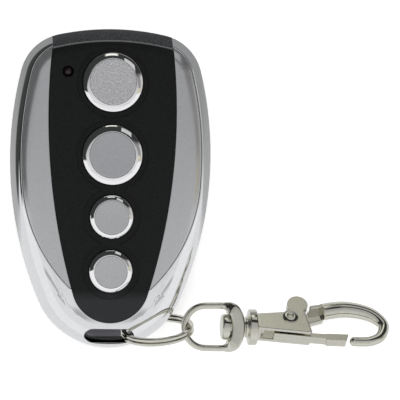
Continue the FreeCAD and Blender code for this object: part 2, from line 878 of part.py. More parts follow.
def make_clasp_body():
    """Two side plates joined by a yoke and by the root of a rounded hook."""
    inner = plate_gap / 2
    outside = inner + plate_thickness
    side = polygon([(plate_u, plate_start_low), (plate_end_u, plate_end_low),
                    (plate_end_u - plate_end_lean, plate_end_high),
                    (plate_u, plate_start_high)])
    plates = [flat_shape(side, inner, outside), flat_shape(side, -outside, -inner)]
    yoke = polygon([(plate_u, plate_start_low), (plate_u + yoke_thickness, plate_start_low),
                    (plate_u + yoke_thickness, plate_start_high), (plate_u, plate_start_high)])
    root_u = plate_end_u - root_depth
    root_end_u = plate_end_u + root_reach
    root = polygon([(root_u, root_low), (root_end_u, root_low + root_rise),
                    (root_end_u, plate_end_high + root_rise), (root_u, plate_end_high)])
    hook = make_hook()
    frame = fused(plates + [flat_shape(yoke, -outside, outside), flat_shape(root, -inner, inner)])
    body = frame.fuse(hook)
    body = body.cut([turned_cylinder(eyelet_radius + thread_gap, 4 * outside,
                                     V(gate_pivot_u, gate_pivot_v, -2 * outside)),
                     turned_cylinder(swivel_pin_radius + thread_gap, 4,
                                     V(plate_u - 2, 0, 0), V(1, 0, 0))])
    body.Placement = rolled_placement()
    return body


def make_clasp_gate():
    """Lever on the eyelet: a thumb tab on one side, and on the other the bar that shuts the hook."""
    half = gate_thickness / 2
    hub = turned_cylinder(gate_hub_radius, gate_thickness, V(gate_pivot_u, gate_pivot_v, -half))
    thumb_u = gate_pivot_u + thumb_shift
    thumb_v = thumb_reach - thumb_width / 2
    thumb = turned_cylinder(thumb_width / 2, gate_thickness, V(thumb_u, thumb_v, -half))
    front_u = gate_pivot_u + gate_neck_front
    back_u = gate_pivot_u - gate_neck_back
    neck = polygon([(back_u, gate_pivot_v), (front_u, gate_pivot_v),
                    (thumb_u + thumb_neck_front, thumb_v), (thumb_u - thumb_neck_back, thumb_v)])
    bar = gate_bar_height / 2
    tip = gate_tip_height / 2
    step_u = gate_tip_u - gate_tip_length
    heel_u = gate_pivot_u - gate_heel_reach
    arm = polygon([(heel_u, gate_heel_v - bar), (step_u, gate_bar_v - bar),
                   (step_u, gate_step_v - tip), (gate_tip_u - gate_tip_lean, gate_tip_v - tip),
                   (gate_tip_u, gate_tip_v + tip), (step_u, gate_step_v + tip),
                   (step_u, gate_bar_v + bar), (gate_pivot_u + gate_web_reach, gate_web_v + bar),
                   (front_u, gate_pivot_v), (back_u, gate_pivot_v),
                   (heel_u + gate_heel_length, gate_heel_v + bar), (heel_u, gate_heel_v + bar)])
    lever = fused([hub, thumb, flat_shape(neck, -half, half), flat_shape(arm, -half, half)])
    relief = turned_cylinder(gate_hub_radius + hub_relief_gap, gate_thickness,
                             V(gate_pivot_u, gate_pivot_v, half - hub_relief))
    bore = turned_cylinder(eyelet_radius + gate_pin_gap, 4 * half,
                           V(gate_pivot_u, gate_pivot_v, -2 * half))
    lever = lever.cut([relief, bore])
    lever.Placement = rolled_placement()
    return lever


def make_clasp_rivet():
    reach = plate_gap / 2 + plate_thickness
    base = V(gate_pivot_u, gate_pivot_v, -reach)
    tube = turned_cylinder(eyelet_radius, 2 * reach, base)
    heads = [turned_cylinder(eyelet_head_radius, eyelet_head_thickness,
                             V(gate_pivot_u, gate_pivot_v, z))
             for z in (reach, -reach - eyelet_head_thickness)]
    heads = [h.makeFillet(eyelet_head_thickness * 0.6, outer_rims(h)) for h in heads]
    bore = turned_cylinder(eyelet_bore, 4 * reach, V(gate_pivot_u, gate_pivot_v, -2 * reach))
    rivet = fused([tube] + heads).cut(bore)
    rivet.Placement = rolled_placement()
    return rivet


def outer_rims(disc):
    """The circle of a flat disc that lies farther from the clasp's middle plane."""
    far = max(abs(disc.BoundBox.ZMin), abs(disc.BoundBox.ZMax))
    return [e for e in disc.Edges
            if e.BoundBox.ZLength < 1e-4 and abs(abs(e.BoundBox.ZMin) - far) < 1e-4]


def make_gate_spring():
    """Torsion spring round the eyelet, one leg to the yoke and one along the gate's arm."""
    wire = spring_wire / 2
    start_z = gate_thickness / 2 - hub_relief + wire + spring_gap
    pitch = spring_wire * 1.08
    rise = pitch * 1.25
    helix = Part.makeHelix(pitch, rise, spring_radius)
    profile = Part.Wire(Part.makeCircle(wire, V(spring_radius, 0, 0), V(0, 1, 0)))
    coil = Part.Wire(helix).makePipeShell([profile], True, True)
    coil.translate(V(gate_pivot_u, gate_pivot_v, start_z))
    reach = gate_pivot_u - plate_u - yoke_thickness - spring_gap
    back = turned_cylinder(wire, reach, V(gate_pivot_u, gate_pivot_v + spring_radius, start_z + rise),
                           V(-1, 0, 0))
    front = turned_cylinder(wire, spring_leg, V(gate_pivot_u + spring_radius, gate_pivot_v, start_z),
                            V(0, -1, 0))
    spring = fused([coil, back, front])
    spring.Placement = rolled_placement()
    return spring


def make_board_parts():
    """The larger pieces on the board."""
    saw = turned_cylinder(saw_radius, saw_height, V(*saw_place, board_top))
    rim = [e for e in saw.Edges if e.BoundBox.ZMin > board_top + saw_height / 2]
    trimmer = turned_cylinder(trimmer_radius, trimmer_height, V(*trimmer_place, board_top))
    long, wide, deep = trimmer_cut
    x, y = trimmer_place
    corner = V(x - long / 2, y - wide / 2, board_top + trimmer_height - deep)
    return {"encoder_chip": chip(encoder_place, encoder_size, 4, encoder_pitch),
            "saw_resonator": saw.makeFillet(saw_round, rim),
            "rf_transistor": chip(transistor_place, transistor_size, 3, transistor_pitch),
            "trimmer_capacitor": trimmer.cut(Part.makeBox(long, wide, deep, corner))}


def make_parts():
    """Every piece by its name."""
    parts = {}
    back = fused([make_back_casing()] + [s.common(outer) for s in battery_cradle() + board_posts()])
    cell, tip = make_battery()
    parts["back_casing"] = back.cut(battery_room())
    parts["front_casing"] = make_front_casing()
    parts["face_plate"] = make_face_plate()
    parts["chrome_frame"] = make_chrome_frame()
    left, right = make_side_panels()
    parts["left_side_panel"] = left
    parts["right_side_panel"] = right
    for i in range(len(button_places)):
        cap, disc = make_button(i)
        parts[f"button_{i + 1}_cap"] = cap
        parts[f"button_{i + 1}_disc"] = disc
        body, plunger = make_switch(i)
        parts[f"switch_{i + 1}_body"] = body
        parts[f"switch_{i + 1}_plunger"] = plunger
    parts["led"] = make_led()
    parts["circuit_board"] = make_board()
    parts.update(make_board_parts())
    parts["resistors"] = column(resistor_place, resistor_size, 5)
    parts["capacitors"] = column(capacitor_place, capacitor_size, 4)
    parts["antenna_loop"] = make_antenna()
    parts["battery"] = cell
    parts["battery_tip"] = tip
    parts["contact_positive"], parts["contact_negative"] = make_contacts()
    parts["case_screws"] = make_screws()
    parts["split_ring"] = make_split_ring()
    parts["swivel_loop"] = make_swivel_loop()
    parts["swivel_rivet"] = make_swivel_rivet()
    parts["swivel_collar"] = make_swivel_collar()
    parts["clasp_body"] = make_clasp_body()
    parts["clasp_gate"] = make_clasp_gate()
    parts["clasp_rivet"] = make_clasp_rivet()
    parts["gate_spring"] = make_gate_spring()
    return parts


os.makedirs("parts", exist_ok=True)
for name, shape in make_parts().items():
    shape.exportStep(f"parts/{name}.step")
    box = shape.BoundBox
    print(f"{name}: {len(shape.Solids)} solids, {shape.Volume:.2f} mm3, valid {shape.isValid()}, "
          f"z {box.ZMin:.2f} to {box.ZMax:.2f}")
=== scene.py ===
# Gate remote control with a split ring and a snap clasp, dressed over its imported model.
# Lengths are metres. The remote lies on its back: +Z is up, +Y points to the antenna end.
import bmesh
import bpy
import math
import numpy as np
from mathutils import Matrix, Vector


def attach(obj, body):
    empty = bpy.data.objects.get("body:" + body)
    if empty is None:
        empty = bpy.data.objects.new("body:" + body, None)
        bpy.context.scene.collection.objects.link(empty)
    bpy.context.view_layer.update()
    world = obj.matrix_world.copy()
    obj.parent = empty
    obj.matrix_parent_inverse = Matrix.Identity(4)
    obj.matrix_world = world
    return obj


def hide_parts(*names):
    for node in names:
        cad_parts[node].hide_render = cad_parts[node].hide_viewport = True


bl_info = {
    "name": "Gate remote control",
    "version": (1, 0, 0),
    "blender": (4, 5, 0),
    "location": "3D View > Sidebar > Gate remote",
    "description": "Builds the visible surfaces and finishes of a gate remote with its ring and clasp",
    "category": "Add Mesh",
}

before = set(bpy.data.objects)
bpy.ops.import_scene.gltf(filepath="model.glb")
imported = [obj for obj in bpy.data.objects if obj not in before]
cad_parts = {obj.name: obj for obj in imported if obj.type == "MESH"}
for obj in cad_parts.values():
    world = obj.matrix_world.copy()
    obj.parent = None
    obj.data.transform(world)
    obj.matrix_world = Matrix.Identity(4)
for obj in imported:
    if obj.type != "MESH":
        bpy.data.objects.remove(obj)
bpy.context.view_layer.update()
MM = 0.001


def place(value, text, **limits):
    """A signed position in metres with its default given in millimetres."""
    return bpy.props.FloatProperty(description=text, default=value * MM, unit="LENGTH",
                                   precision=5, **limits)


def length(value, text):
    """A length property in metres with its default given in millimetres."""
    return place(value, text, min=0.0)


def angle(value, text):
    """An angle property with its default given in degrees."""
    return bpy.props.FloatProperty(description=text, default=math.radians(value), subtype="ANGLE")


def colour(value, text):
    """A colour property, in linear shares of red, green and blue."""
    return bpy.props.FloatVectorProperty(description=text, default=value, size=3,
                                         subtype="COLOR", min=0.0, max=1.0)


class CasingSizes(bpy.types.PropertyGroup):
    """Sizes of the remote's casing, the same as the model's."""
    half_length: length(30.0, "Half of the casing's length")
    half_width: length(18.8, "Half of the casing's greatest width")
    widest_y: place(6.0, "Where along the casing it is widest")
    top_arc: length(47.0, "Radius of the antenna end in plan")
    shoulder: length(9.0, "Radius of the two shoulders in plan")
    tail: length(14.3, "Radius of the tail in plan")
    face_height: length(14.35, "Height of the face's crown")
    crown: length(125.0, "Radius of the face's crown")
    front_round: length(5.0, "Rounding between the face and the sides")
    parting: length(5.4, "Height of the line between the two casings")
    slot_length: length(8.9, "Length of the key ring slot")
    slot_width: length(3.0, "Width of the key ring slot")
    slot_y: place(-27.3, "Middle of the slot at its own height")
    slot_height: length(7.2, "Height at which the slot's place is given")
    slot_lip: length(0.35, "Bevel round the slot's mouth")
    panel_inset: length(1.8, "Width of the chrome frame beside the panels")
    panel_foot_x: length(7.6, "Where the panel's tail end meets the face plate")
    panel_foot_y: place(-18.9, "The same point along the casing")
    panel_turn_y: place(2.0, "Where the panel's edge leaves the outline's curve")
    panel_arc: length(30.0, "Radius of the panel's lower edge")
    frame_end_x: length(11.25, "Where the chrome frame stops at the antenna end")
    seam: length(0.1, "Open line between the panels and the frame")
    skin: length(1.2, "Thickness of the plates that make the front")


class FaceSizes(bpy.types.PropertyGroup):
    """Sizes of the black face plate and of what shows in it."""
    half_width: length(12.03, "Half of the face plate's greatest width")
    widest_y: place(14.0, "Where the face plate is widest")
    side_arc: length(118.0, "Radius of the face plate's long edges")
    nose: length(7.25, "Radius of the face plate's rounded tail")
    nose_y: place(-25.3, "Where the face plate ends at the tail")
    top_y: place(27.9, "Where the face plate ends at the antenna end")
    top_arc: length(45.5, "Radius of the face plate's top edge")
    recess_depth: length(0.3, "Depth of the scalloped recess round the buttons")
    button_gap: length(0.15, "Gap round each button")
    button_rise: length(0.95, "Height of a button's top over the face")
    bevel_rise: length(0.3, "Height at which a button's bevel starts")
    led_x: place(-8.4, "Indicator light, across the casing")
    led_y: place(21.9, "Indicator light, along the casing")
    led_hole: length(1.08, "Radius of the indicator's hole")


class ChainSizes(bpy.types.PropertyGroup):
    """Sizes and places of the split ring, the swivel and the clasp."""
    ring_radius: length(6.4, "Middle radius of the split ring")
    ring_width: length(1.0, "Width of the ring's strip across the ring")
    ring_height: length(0.74, "Height of one coil")
    ring_x: place(9.2, "Middle of the ring across the casing")
    ring_y: place(-26.6, "Middle of the ring along the casing")
    ring_lean: angle(70.0, "Angle of the ring's plane from the table")
    ring_yaw: angle(6.0, "Turn of the ring about the upright")
    chain_drop: angle(5.0, "How steeply the chain falls to the table")
    chain_roll: angle(-38.0, "How far the clasp is rolled about the chain")
    loop_wire: length(1.25, "Diameter of the swivel loop's wire")
    loop_width: length(9.2, "Width of the swivel loop")
    loop_length: length(12.1, "Length of the swivel loop")
    loop_web: length(2.7, "Thickness of the loop's web along the chain")
    loop_web_height: length(3.6, "Height of the loop's web")
    loop_gap: length(0.12, "Play between the loop and the ring")


class FinishColours(bpy.types.PropertyGroup):
    """Base colours of the finishes."""
    black: colour((0.0065, 0.007, 0.007), "Face plate and casings")
    speckled: colour((0.025, 0.0265, 0.029), "Sloping end of the front casing")
    chrome: colour((0.89, 0.9, 0.91), "Bright plating on the frame and the buttons")
    satin: colour((0.58, 0.585, 0.595), "Paint on the side panels and button discs")
    nickel: colour((0.69, 0.68, 0.60), "Plating on the ring, the swivel and the clasp")


def sizes():
    return bpy.context.scene.remote_casing


def face():
    return bpy.context.scene.remote_face


def chain():
    return bpy.context.scene.remote_chain


def colours():
    return bpy.context.scene.remote_colours


# Buttons from the antenna end to the tail: place along the casing, radius, disc radius, recess radius
BUTTONS = np.array([(19.9, 5.6, 4.4, 6.8), (6.25, 5.6, 4.35, 6.8), (-5.4, 4.1, 3.25, 5.45),
                    (-15.6, 4.05, 3.1, 5.4)]) * MM


def meeting(first, first_radius, second, second_radius):
    """Where circles round two centres cross, on the left of the way from first to second."""
    base = second - first
    apart = np.hypot(*base)
    along = (first_radius ** 2 - second_radius ** 2 + apart ** 2) / (2 * apart)
    across = math.sqrt(first_radius ** 2 - along ** 2)
    return first + (base * along + np.array([-base[1], base[0]]) * across) / apart


def bearing(spot, centre):
    """The angle at which spot is seen from centre."""
    return math.atan2(*(spot - centre)[::-1])


def arcs():
    """Centres, side radius and turning angles of the casing's plan outline, right half: four
    arcs that touch, each pair in line with both their centres."""
    s = sizes()
    top = np.array([0.0, s.half_length - s.top_arc])
    tail = np.array([0.0, s.tail - s.half_length])
    reach = tail[1] - s.widest_y
    side_r = (reach ** 2 + s.half_width ** 2 - s.tail ** 2) / (2 * (s.half_width - s.tail))
    side = np.array([s.half_width - side_r, s.widest_y])
    shoulder = meeting(side, side_r - s.shoulder, top, s.top_arc - s.shoulder)
    return {"top": top, "tail": tail, "side": side, "shoulder": shoulder, "side_r": side_r,
            "high": bearing(shoulder, top), "low": bearing(shoulder, side),
            "turn": bearing(tail, side)}


def on_arc(centre, radius, turn):
    """Points at the angles turn on the arc, as an array of (x, y)."""
    return np.stack([centre[0] + radius * np.cos(turn), centre[1] + radius * np.sin(turn)], -1)


def inset_of(x, y):
    """How far each plan point lies inside the outline, and the outward direction there: the
    radius of the arc that the point belongs to, less its distance from the arc's centre."""
    s, a = sizes(), arcs()
    ax = np.abs(x)
    sign = np.where(x < 0, -1.0, 1.0)
    at_tail = np.arctan2(y - a["tail"][1], ax) <= a["turn"]
    bend = np.arctan2(y - a["shoulder"][1], ax - a["shoulder"][0])
    at_shoulder = (bend >= a["low"]) & (bend <= a["high"]) & ~at_tail
    at_top = (np.arctan2(y - a["top"][1], ax) >= a["high"]) & ~at_tail & ~at_shoulder
    at_top &= y > a["shoulder"][1] - 2 * s.shoulder
    which = np.select([at_tail, at_shoulder, at_top], [0, 1, 2], 3)
    centre = np.array([a["tail"], a["shoulder"], a["top"], a["side"]])[which]
    radius = np.array([s.tail, s.shoulder, s.top_arc, a["side_r"]])[which]
    dx = ax - centre[..., 0]
    dy = y - centre[..., 1]
    far = np.maximum(np.hypot(dx, dy), 1e-9)
    return radius - far, dx / far * sign, dy / far


def front_height(x, y):
    """Height of the front: a sphere for the crown, rolled round a ball of the edge's radius
    where the inset is less than the ball's contact with the crown, radius (1 - lean). The ball
    runs inside the crown: height = rise of its middle + sqrt(radius^2 - (radius - inset)^2)."""
    s = sizes()
    centre_z = s.face_height - s.crown
    ball = s.front_round
    depth, out_x, out_y = inset_of(x, y)
    depth = np.maximum(depth, 0.0)
    crown = centre_z + np.sqrt(s.crown ** 2 - x ** 2 - (y - s.widest_y) ** 2)
    ball_x = x - out_x * (ball - depth)
    ball_y = y - out_y * (ball - depth)
    rise = np.sqrt((s.crown - ball) ** 2 - ball_x ** 2 - (ball_y - s.widest_y) ** 2)
    lean = (ball_x * out_x + (ball_y - s.widest_y) * out_y) / (s.crown - ball)
    contact = ball * (1 - lean)
    reach = np.clip(ball - depth, 0.0, ball)
    rolled = centre_z + rise + np.sqrt(np.maximum(ball ** 2 - reach ** 2, 0.0))
    return np.where(depth < contact, rolled, crown)


def crown_frame(y):
    """Point on the crown above the middle line at y, with the unit normal there."""
    s = sizes()
    centre = np.array([0.0, s.widest_y, s.face_height - s.crown])
    point = np.array([0.0, y, centre[2] + math.sqrt(s.crown ** 2 - (y - s.widest_y) ** 2)])
    return point, (point - centre) / s.crown


def tongue(count=(30, 160, 40)):
    """Right half of the face plate's edge, from its top edge to its nose: three arcs."""
    s = face()
    side = np.array([s.half_width - s.side_arc, s.widest_y])
    nose = np.array([0.0, s.nose_y + s.nose])
    top = np.array([0.0, s.top_y - s.top_arc])
    side_r = np.hypot(*(nose - side)) + s.nose
    corner = meeting(side, side_r, top, s.top_arc)
    turn = bearing(nose, side)
    return [on_arc(top, s.top_arc, np.linspace(math.pi / 2, bearing(corner, top), count[0])),
            on_arc(side, side_r, np.linspace(bearing(corner, side), turn, count[1])),
            on_arc(nose, s.nose, np.linspace(turn, -math.pi / 2, count[2]))]


def spaced(points, count):
    """The polyline's points moved to count even steps of its length."""
    step = np.hypot(*np.diff(points, axis=0).T)
    run = np.concatenate([[0.0], np.cumsum(step)])
    want = np.linspace(0.0, run[-1], count)
    return np.stack([np.interp(want, run, points[:, 0]), np.interp(want, run, points[:, 1])], -1)


def panel_line(inset):
    """Right outer line of the panels, in pieces: round the shoulder, down the side, and the arc
    that swings in to the face plate's edge."""
    s, a = sizes(), arcs()
    side_r = a["side_r"] - s.panel_inset - inset
    turn = math.asin((s.panel_turn_y - a["side"][1]) / side_r)
    shoulder = on_arc(a["shoulder"], s.shoulder - s.panel_inset - inset,
                      np.linspace(a["high"], a["low"], 60))
    side = on_arc(a["side"], side_r, np.linspace(a["low"], turn, 60))
    foot = np.array([s.panel_foot_x - inset * 0.6, s.panel_foot_y])
    centre = meeting(foot, s.panel_arc, side[-1], s.panel_arc)
    lower = on_arc(centre, s.panel_arc,
                   np.linspace(bearing(side[-1], centre), bearing(foot, centre), 60))
    return shoulder, side, lower


def build(name, points, faces, body, look, replaces=(), weld=False):
    """A piece from its points and faces, each closed shell turned outward, with its finish. It
    rides on a body, has its slot and stands for the named nodes. Welding joins points that
    coincide and drops faces without area."""
    mesh = bpy.data.meshes.new(name)
    corners = faces.tolist() if isinstance(faces, np.ndarray) else faces
    mesh.from_pydata(np.asarray(points).reshape(-1, 3).tolist(), [], corners)
    mesh.validate()
    mesh.update()
    mesh.polygons.foreach_set("use_smooth", np.ones(len(mesh.polygons), dtype=bool))
    mesh.materials.append(finish(look))
    piece = bpy.data.objects.new(name, mesh)
    bpy.context.scene.collection.objects.link(piece)
    shell = bmesh.new()
    shell.from_mesh(mesh)
    if weld:
        bmesh.ops.remove_doubles(shell, verts=shell.verts, dist=2e-6)
        bmesh.ops.dissolve_degenerate(shell, edges=shell.edges, dist=1e-7)
    bmesh.ops.recalc_face_normals(shell, faces=shell.faces)
    shell.to_mesh(mesh)
    shell.free()
    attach(piece, body)
    if replaces:
        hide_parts(*replaces)
    return piece


def grid_faces(rows, columns, wrap_rows=False, wrap_columns=False):
    """Quads of a grid of rows by columns, whose points are stored row by row."""
    r = np.arange(rows if wrap_rows else rows - 1)
    c = np.arange(columns if wrap_columns else columns - 1)
    r, c = np.meshgrid(r, c, indexing="ij")
    r2 = (r + 1) % rows
    c2 = (c + 1) % columns
    quads = np.stack([r * columns + c, r2 * columns + c, r2 * columns + c2, r * columns + c2], -1)
    return quads.reshape(-1, 4)


def merged(parts):
    """Several shells as one list of points and one list of faces of any size."""
    points = []
    faces = []
    shift = 0
    for part_points, part_faces in parts:
        flat = np.asarray(part_points, dtype=float).reshape(-1, 3)
        points.append(flat)
        if isinstance(part_faces, np.ndarray):
            faces += (part_faces + shift).tolist()
        else:
            faces += [[corner + shift for corner in face_corners] for face_corners in part_faces]
        shift += len(flat)
    return np.concatenate(points), faces


def spin(profile, point, normal, count):
    """Surface of revolution: a profile of (radius, height) turned about the normal at point, as
    point + radius (cos side + sin other) + height normal."""
    profile = np.asarray(profile, dtype=float)
    normal = np.asarray(normal, dtype=float)
    normal = normal / np.linalg.norm(normal)
    side = np.cross(normal, [0.0, 1.0, 0.0] if abs(normal[0]) > 0.9 else [1.0, 0.0, 0.0])
    side = side / np.linalg.norm(side)
    other = np.cross(normal, side)
    turn = np.linspace(0, 2 * math.pi, count, endpoint=False)
    round_way = np.outer(np.cos(turn), side) + np.outer(np.sin(turn), other)
    points = (np.asarray(point) + profile[:, None, :1] * round_way[None]
              + profile[:, None, 1:] * normal)
    return points, grid_faces(len(profile), count, wrap_columns=True)[:, ::-1]


def rounded(corners, radii, steps, closed=False):
    """A line whose corners are replaced by short curves of the given sizes, one for all or one
    each: (1 - t)^2 start + 2 t (1 - t) corner + t^2 end. An open line keeps its two ends."""
    corners = np.asarray(corners, dtype=float)
    radii = np.broadcast_to(radii, (len(corners),))
    most = 0.45 if closed else 0.49
    t = np.linspace(0, 1, steps)[:, None]
    out = []
    for i, corner in enumerate(corners):
        if radii[i] <= 0 if closed else i in (0, len(corners) - 1):
            out.append(corner)
            continue
        before = corners[i - 1] - corner
        after = corners[(i + 1) % len(corners)] - corner
        far_before, far_after = np.linalg.norm(before), np.linalg.norm(after)
        size = min(radii[i], most * far_before, most * far_after)
        start = corner + before / far_before * size
        end = corner + after / far_after * size
        out.extend((1 - t) ** 2 * start + 2 * t * (1 - t) * corner + t ** 2 * end)
    return np.array(out)


def tube(path, radii, sides):
    """A round section carried along a path, its radius given at each point. Quarter circles, a
    radius times (cos, sin), close both ends with domes."""
    ahead = np.gradient(path, axis=0)
    ahead = ahead / np.linalg.norm(ahead, axis=1, keepdims=True)
    turn = np.linspace(0, math.pi / 2, 9)[1:]
    head = path[0] - np.outer(radii[0] * np.sin(turn[::-1]), ahead[0])
    foot = path[-1] + np.outer(radii[-1] * np.sin(turn), ahead[-1])
    radii = np.concatenate([radii[0] * np.cos(turn[::-1]), radii, radii[-1] * np.cos(turn)])
    path = np.concatenate([head, path, foot])
    ahead = np.concatenate([np.repeat(ahead[:1], 8, 0), ahead, np.repeat(ahead[-1:], 8, 0)])
    side = np.cross([0.0, 0.0, 1.0], ahead)
    side = side / np.linalg.norm(side, axis=1, keepdims=True)
    other = np.cross(ahead, side)
    turn = np.linspace(0, 2 * math.pi, sides, endpoint=False)
    ring = side[:, None] * np.cos(turn)[:, None] + other[:, None] * np.sin(turn)[:, None]
    points = path[:, None] + ring * np.maximum(radii, 1e-7)[:, None, None]
    return points, grid_faces(len(path), sides, wrap_columns=True)[:, ::-1]


def feed(tree, made, inputs):
    """Puts each value on the node's socket of that name or number, or links it where it is one."""
    for key, value in inputs.items():
        socket = made.inputs[key]
        if isinstance(value, bpy.types.NodeSocket):
            tree.links.new(value, socket)
        elif socket.type == "RGBA":
            socket.default_value = (*value, 1.0)
        else:
            socket.default_value = value


def add_node(tree, kind, inputs, **settings):
    """A new node with its own settings, fed with values and links."""
    made = tree.nodes.new(f"ShaderNode{kind}")
    for key, value in settings.items():
        setattr(made, key, value)
    feed(tree, made, inputs)
    return made


def new_material(name):
    """A node material with only its shader and its output."""
    material = bpy.data.materials.new(f"remote_{name}")
    material.use_nodes = True
    tree = material.node_tree
    tree.nodes.clear()
    shader = add_node(tree, "BsdfPrincipled", {})
    add_node(tree, "OutputMaterial", {"Surface": shader.outputs["BSDF"]})
    return material, tree, shader


def position(tree):
    """The place on the piece, in the object's own metres."""
    return add_node(tree, "TexCoord", {}).outputs["Object"]


def axes(tree, place):
    """X, Y and Z of a place or direction."""
    return add_node(tree, "SeparateXYZ", {"Vector": place}).outputs


def grain(tree, scale, detail, rough=0.6):
    """Noise over the object's own metres, scale times finer than a metre."""
    facts = {"Vector": position(tree), "Scale": scale, "Detail": detail, "Roughness": rough}
    return add_node(tree, "TexNoise", facts).outputs["Fac"]


def ranged(tree, source, low, high, start=0.3, stop=0.7):
    """The source between start and stop, stretched to low and high."""
    ends = {"Value": source, "From Min": start, "From Max": stop, "To Min": low, "To Max": high}
    return add_node(tree, "MapRange", ends).outputs["Result"]


def reckoned(tree, operation, *values):
    """One step of arithmetic on values or sockets."""
    return add_node(tree, "Math", dict(enumerate(values)), operation=operation).outputs["Value"]


def mixed(tree, factor, first, second):
    """The first colour, going over into the second by the factor."""
    sockets = {"Factor": factor, 6: first, 7: second}
    return add_node(tree, "Mix", sockets, data_type="RGBA").outputs[2]


def two_tones(tree, source, first, second, start=0.35, stop=0.65):
    """A colour ramp between two colours, driven by the source."""
    ramp = add_node(tree, "ValToRGB", {"Fac": source})
    for end, place_on_ramp, tone in zip(ramp.color_ramp.elements, (start, stop), (first, second)):
        end.position = place_on_ramp
        end.color = (*tone, 1.0)
    return ramp.outputs["Color"]


def bumped(tree, source, depth, strength, shader):
    """A bump of the given depth in metres into the shader's normal."""
    bump = add_node(tree, "Bump", {"Distance": depth, "Strength": strength, "Height": source})
    feed(tree, shader, {"Normal": bump.outputs["Normal"]})


def scaled(tone, factor):
    """The tone made lighter or darker by a factor, no brighter than white."""
    return tuple(min(1.0, value * factor) for value in tone)


def grained(name, tone, metallic, roughness, size, spread=0.2, uneven=0.05, depth=0.0, detail=3.0,
            strength=0.4, specular=0.5):
    """A finish whose tone, gloss and surface all vary with one fine grain and one broad mottle."""
    material, tree, shader = new_material(name)
    fine = grain(tree, 1.0 / size, detail)
    broad = grain(tree, 1.0 / (size * 40), 2.0)
    feed(tree, shader, {
        "Base Color": two_tones(tree, fine, scaled(tone, 1 - spread), scaled(tone, 1 + spread)),
        "Roughness": ranged(tree, broad, roughness - uneven, roughness + uneven),
        "Metallic": metallic,
        "Specular IOR Level": specular,
    })
    if depth:
        bumped(tree, fine, depth, strength, shader)
    return material


def speckled_finish():
    """Dark grey moulded texture of the sloping end: fine pits with lighter tops."""
    material, tree, shader = new_material("speckled")
    fine = grain(tree, 7000.0, 4.0, 0.8)
    cells = grain(tree, 3600.0, 2.0, 0.5)
    pits = reckoned(tree, "MULTIPLY_ADD", cells, 0.45, reckoned(tree, "MULTIPLY", fine, 0.55))
    tone = colours().speckled
    feed(tree, shader, {
        "Base Color": two_tones(tree, pits, scaled(tone, 0.4), scaled(tone, 2.4), 0.44, 0.62),
        "Roughness": ranged(tree, fine, 0.45, 0.7),
    })
    bumped(tree, pits, 0.00005, 0.5, shader)
    return material


def face_finish():
    """Black face plate with painted light: a painted sheen, lighter grey, where its tail turns down,
    and a painted highlight, a pale line along its top edge, found by the distance from the middle of
    the edge's arc."""
    material, tree, shader = new_material("face_black")
    tone = colours().black
    fine = grain(tree, 4500.0, 4.0)
    where = position(tree)
    flat = add_node(tree, "VectorMath", {0: where, 1: (1.0, 1.0, 0.0)}, operation="MULTIPLY")
    middle = (0.0, face().top_y - face().top_arc, 0.0)
    reach = add_node(tree, "VectorMath", {0: flat.outputs["Vector"], 1: middle},
                     operation="DISTANCE")
    edge = face().top_arc
    # Mask of the painted highlight: a pale line just inside the top edge
    line = ranged(tree, reach.outputs["Value"], 0.0, 1.0, edge - 0.4 * MM, edge - 0.15 * MM)
    # Mask of the painted sheen: the tail is made lighter grey from where it turns down
    nose = ranged(tree, axes(tree, where)["Y"], 1.0, 0.0, -0.0212, -0.0192)
    dark = two_tones(tree, fine, scaled(tone, 0.5), scaled(tone, 1.5))
    # Lighter grey of the painted sheen on the tail, then the pale grey of the painted highlight line
    nose_painted_sheen = two_tones(tree, fine, (0.019, 0.020, 0.022), (0.029, 0.030, 0.033))
    pale = two_tones(tree, fine, (0.10, 0.10, 0.10), (0.16, 0.16, 0.16))
    feed(tree, shader, {
        "Base Color": mixed(tree, line, mixed(tree, nose, dark, nose_painted_sheen), pale),
        "Roughness": ranged(tree, grain(tree, 110.0, 2.0), 0.38, 0.46),
        "Specular IOR Level": 0.15,
    })
    bumped(tree, fine, 0.000018, 0.5, shader)
    return material


def clear_finish():
    """Water-clear moulding of the indicator, slightly smoked."""
    material, tree, shader = new_material("clear")
    fine = grain(tree, 900.0, 2.0)
    feed(tree, shader, {
        "Base Color": two_tones(tree, fine, (0.010, 0.006, 0.008), (0.020, 0.010, 0.012)),
        "Roughness": ranged(tree, fine, 0.05, 0.12),
        "Transmission Weight": 0.25,
        "IOR": 1.5,
    })
    return material


def sleeve_finish():
    """Battery sleeve: a dark wrapper that turns golden past a line across its length."""
    material, tree, shader = new_material("battery_sleeve")
    fine = grain(tree, 700.0, 3.0)
    band = ranged(tree, axes(tree, position(tree))["Y"], 0.0, 1.0, 0.0105, 0.0106)
    dark = two_tones(tree, fine, (0.02, 0.03, 0.06), (0.03, 0.045, 0.09))
    golden = two_tones(tree, fine, (0.42, 0.30, 0.06), (0.52, 0.37, 0.08))
    feed(tree, shader, {"Base Color": mixed(tree, band, dark, golden),
                        "Roughness": ranged(tree, fine, 0.25, 0.35)})
    return material


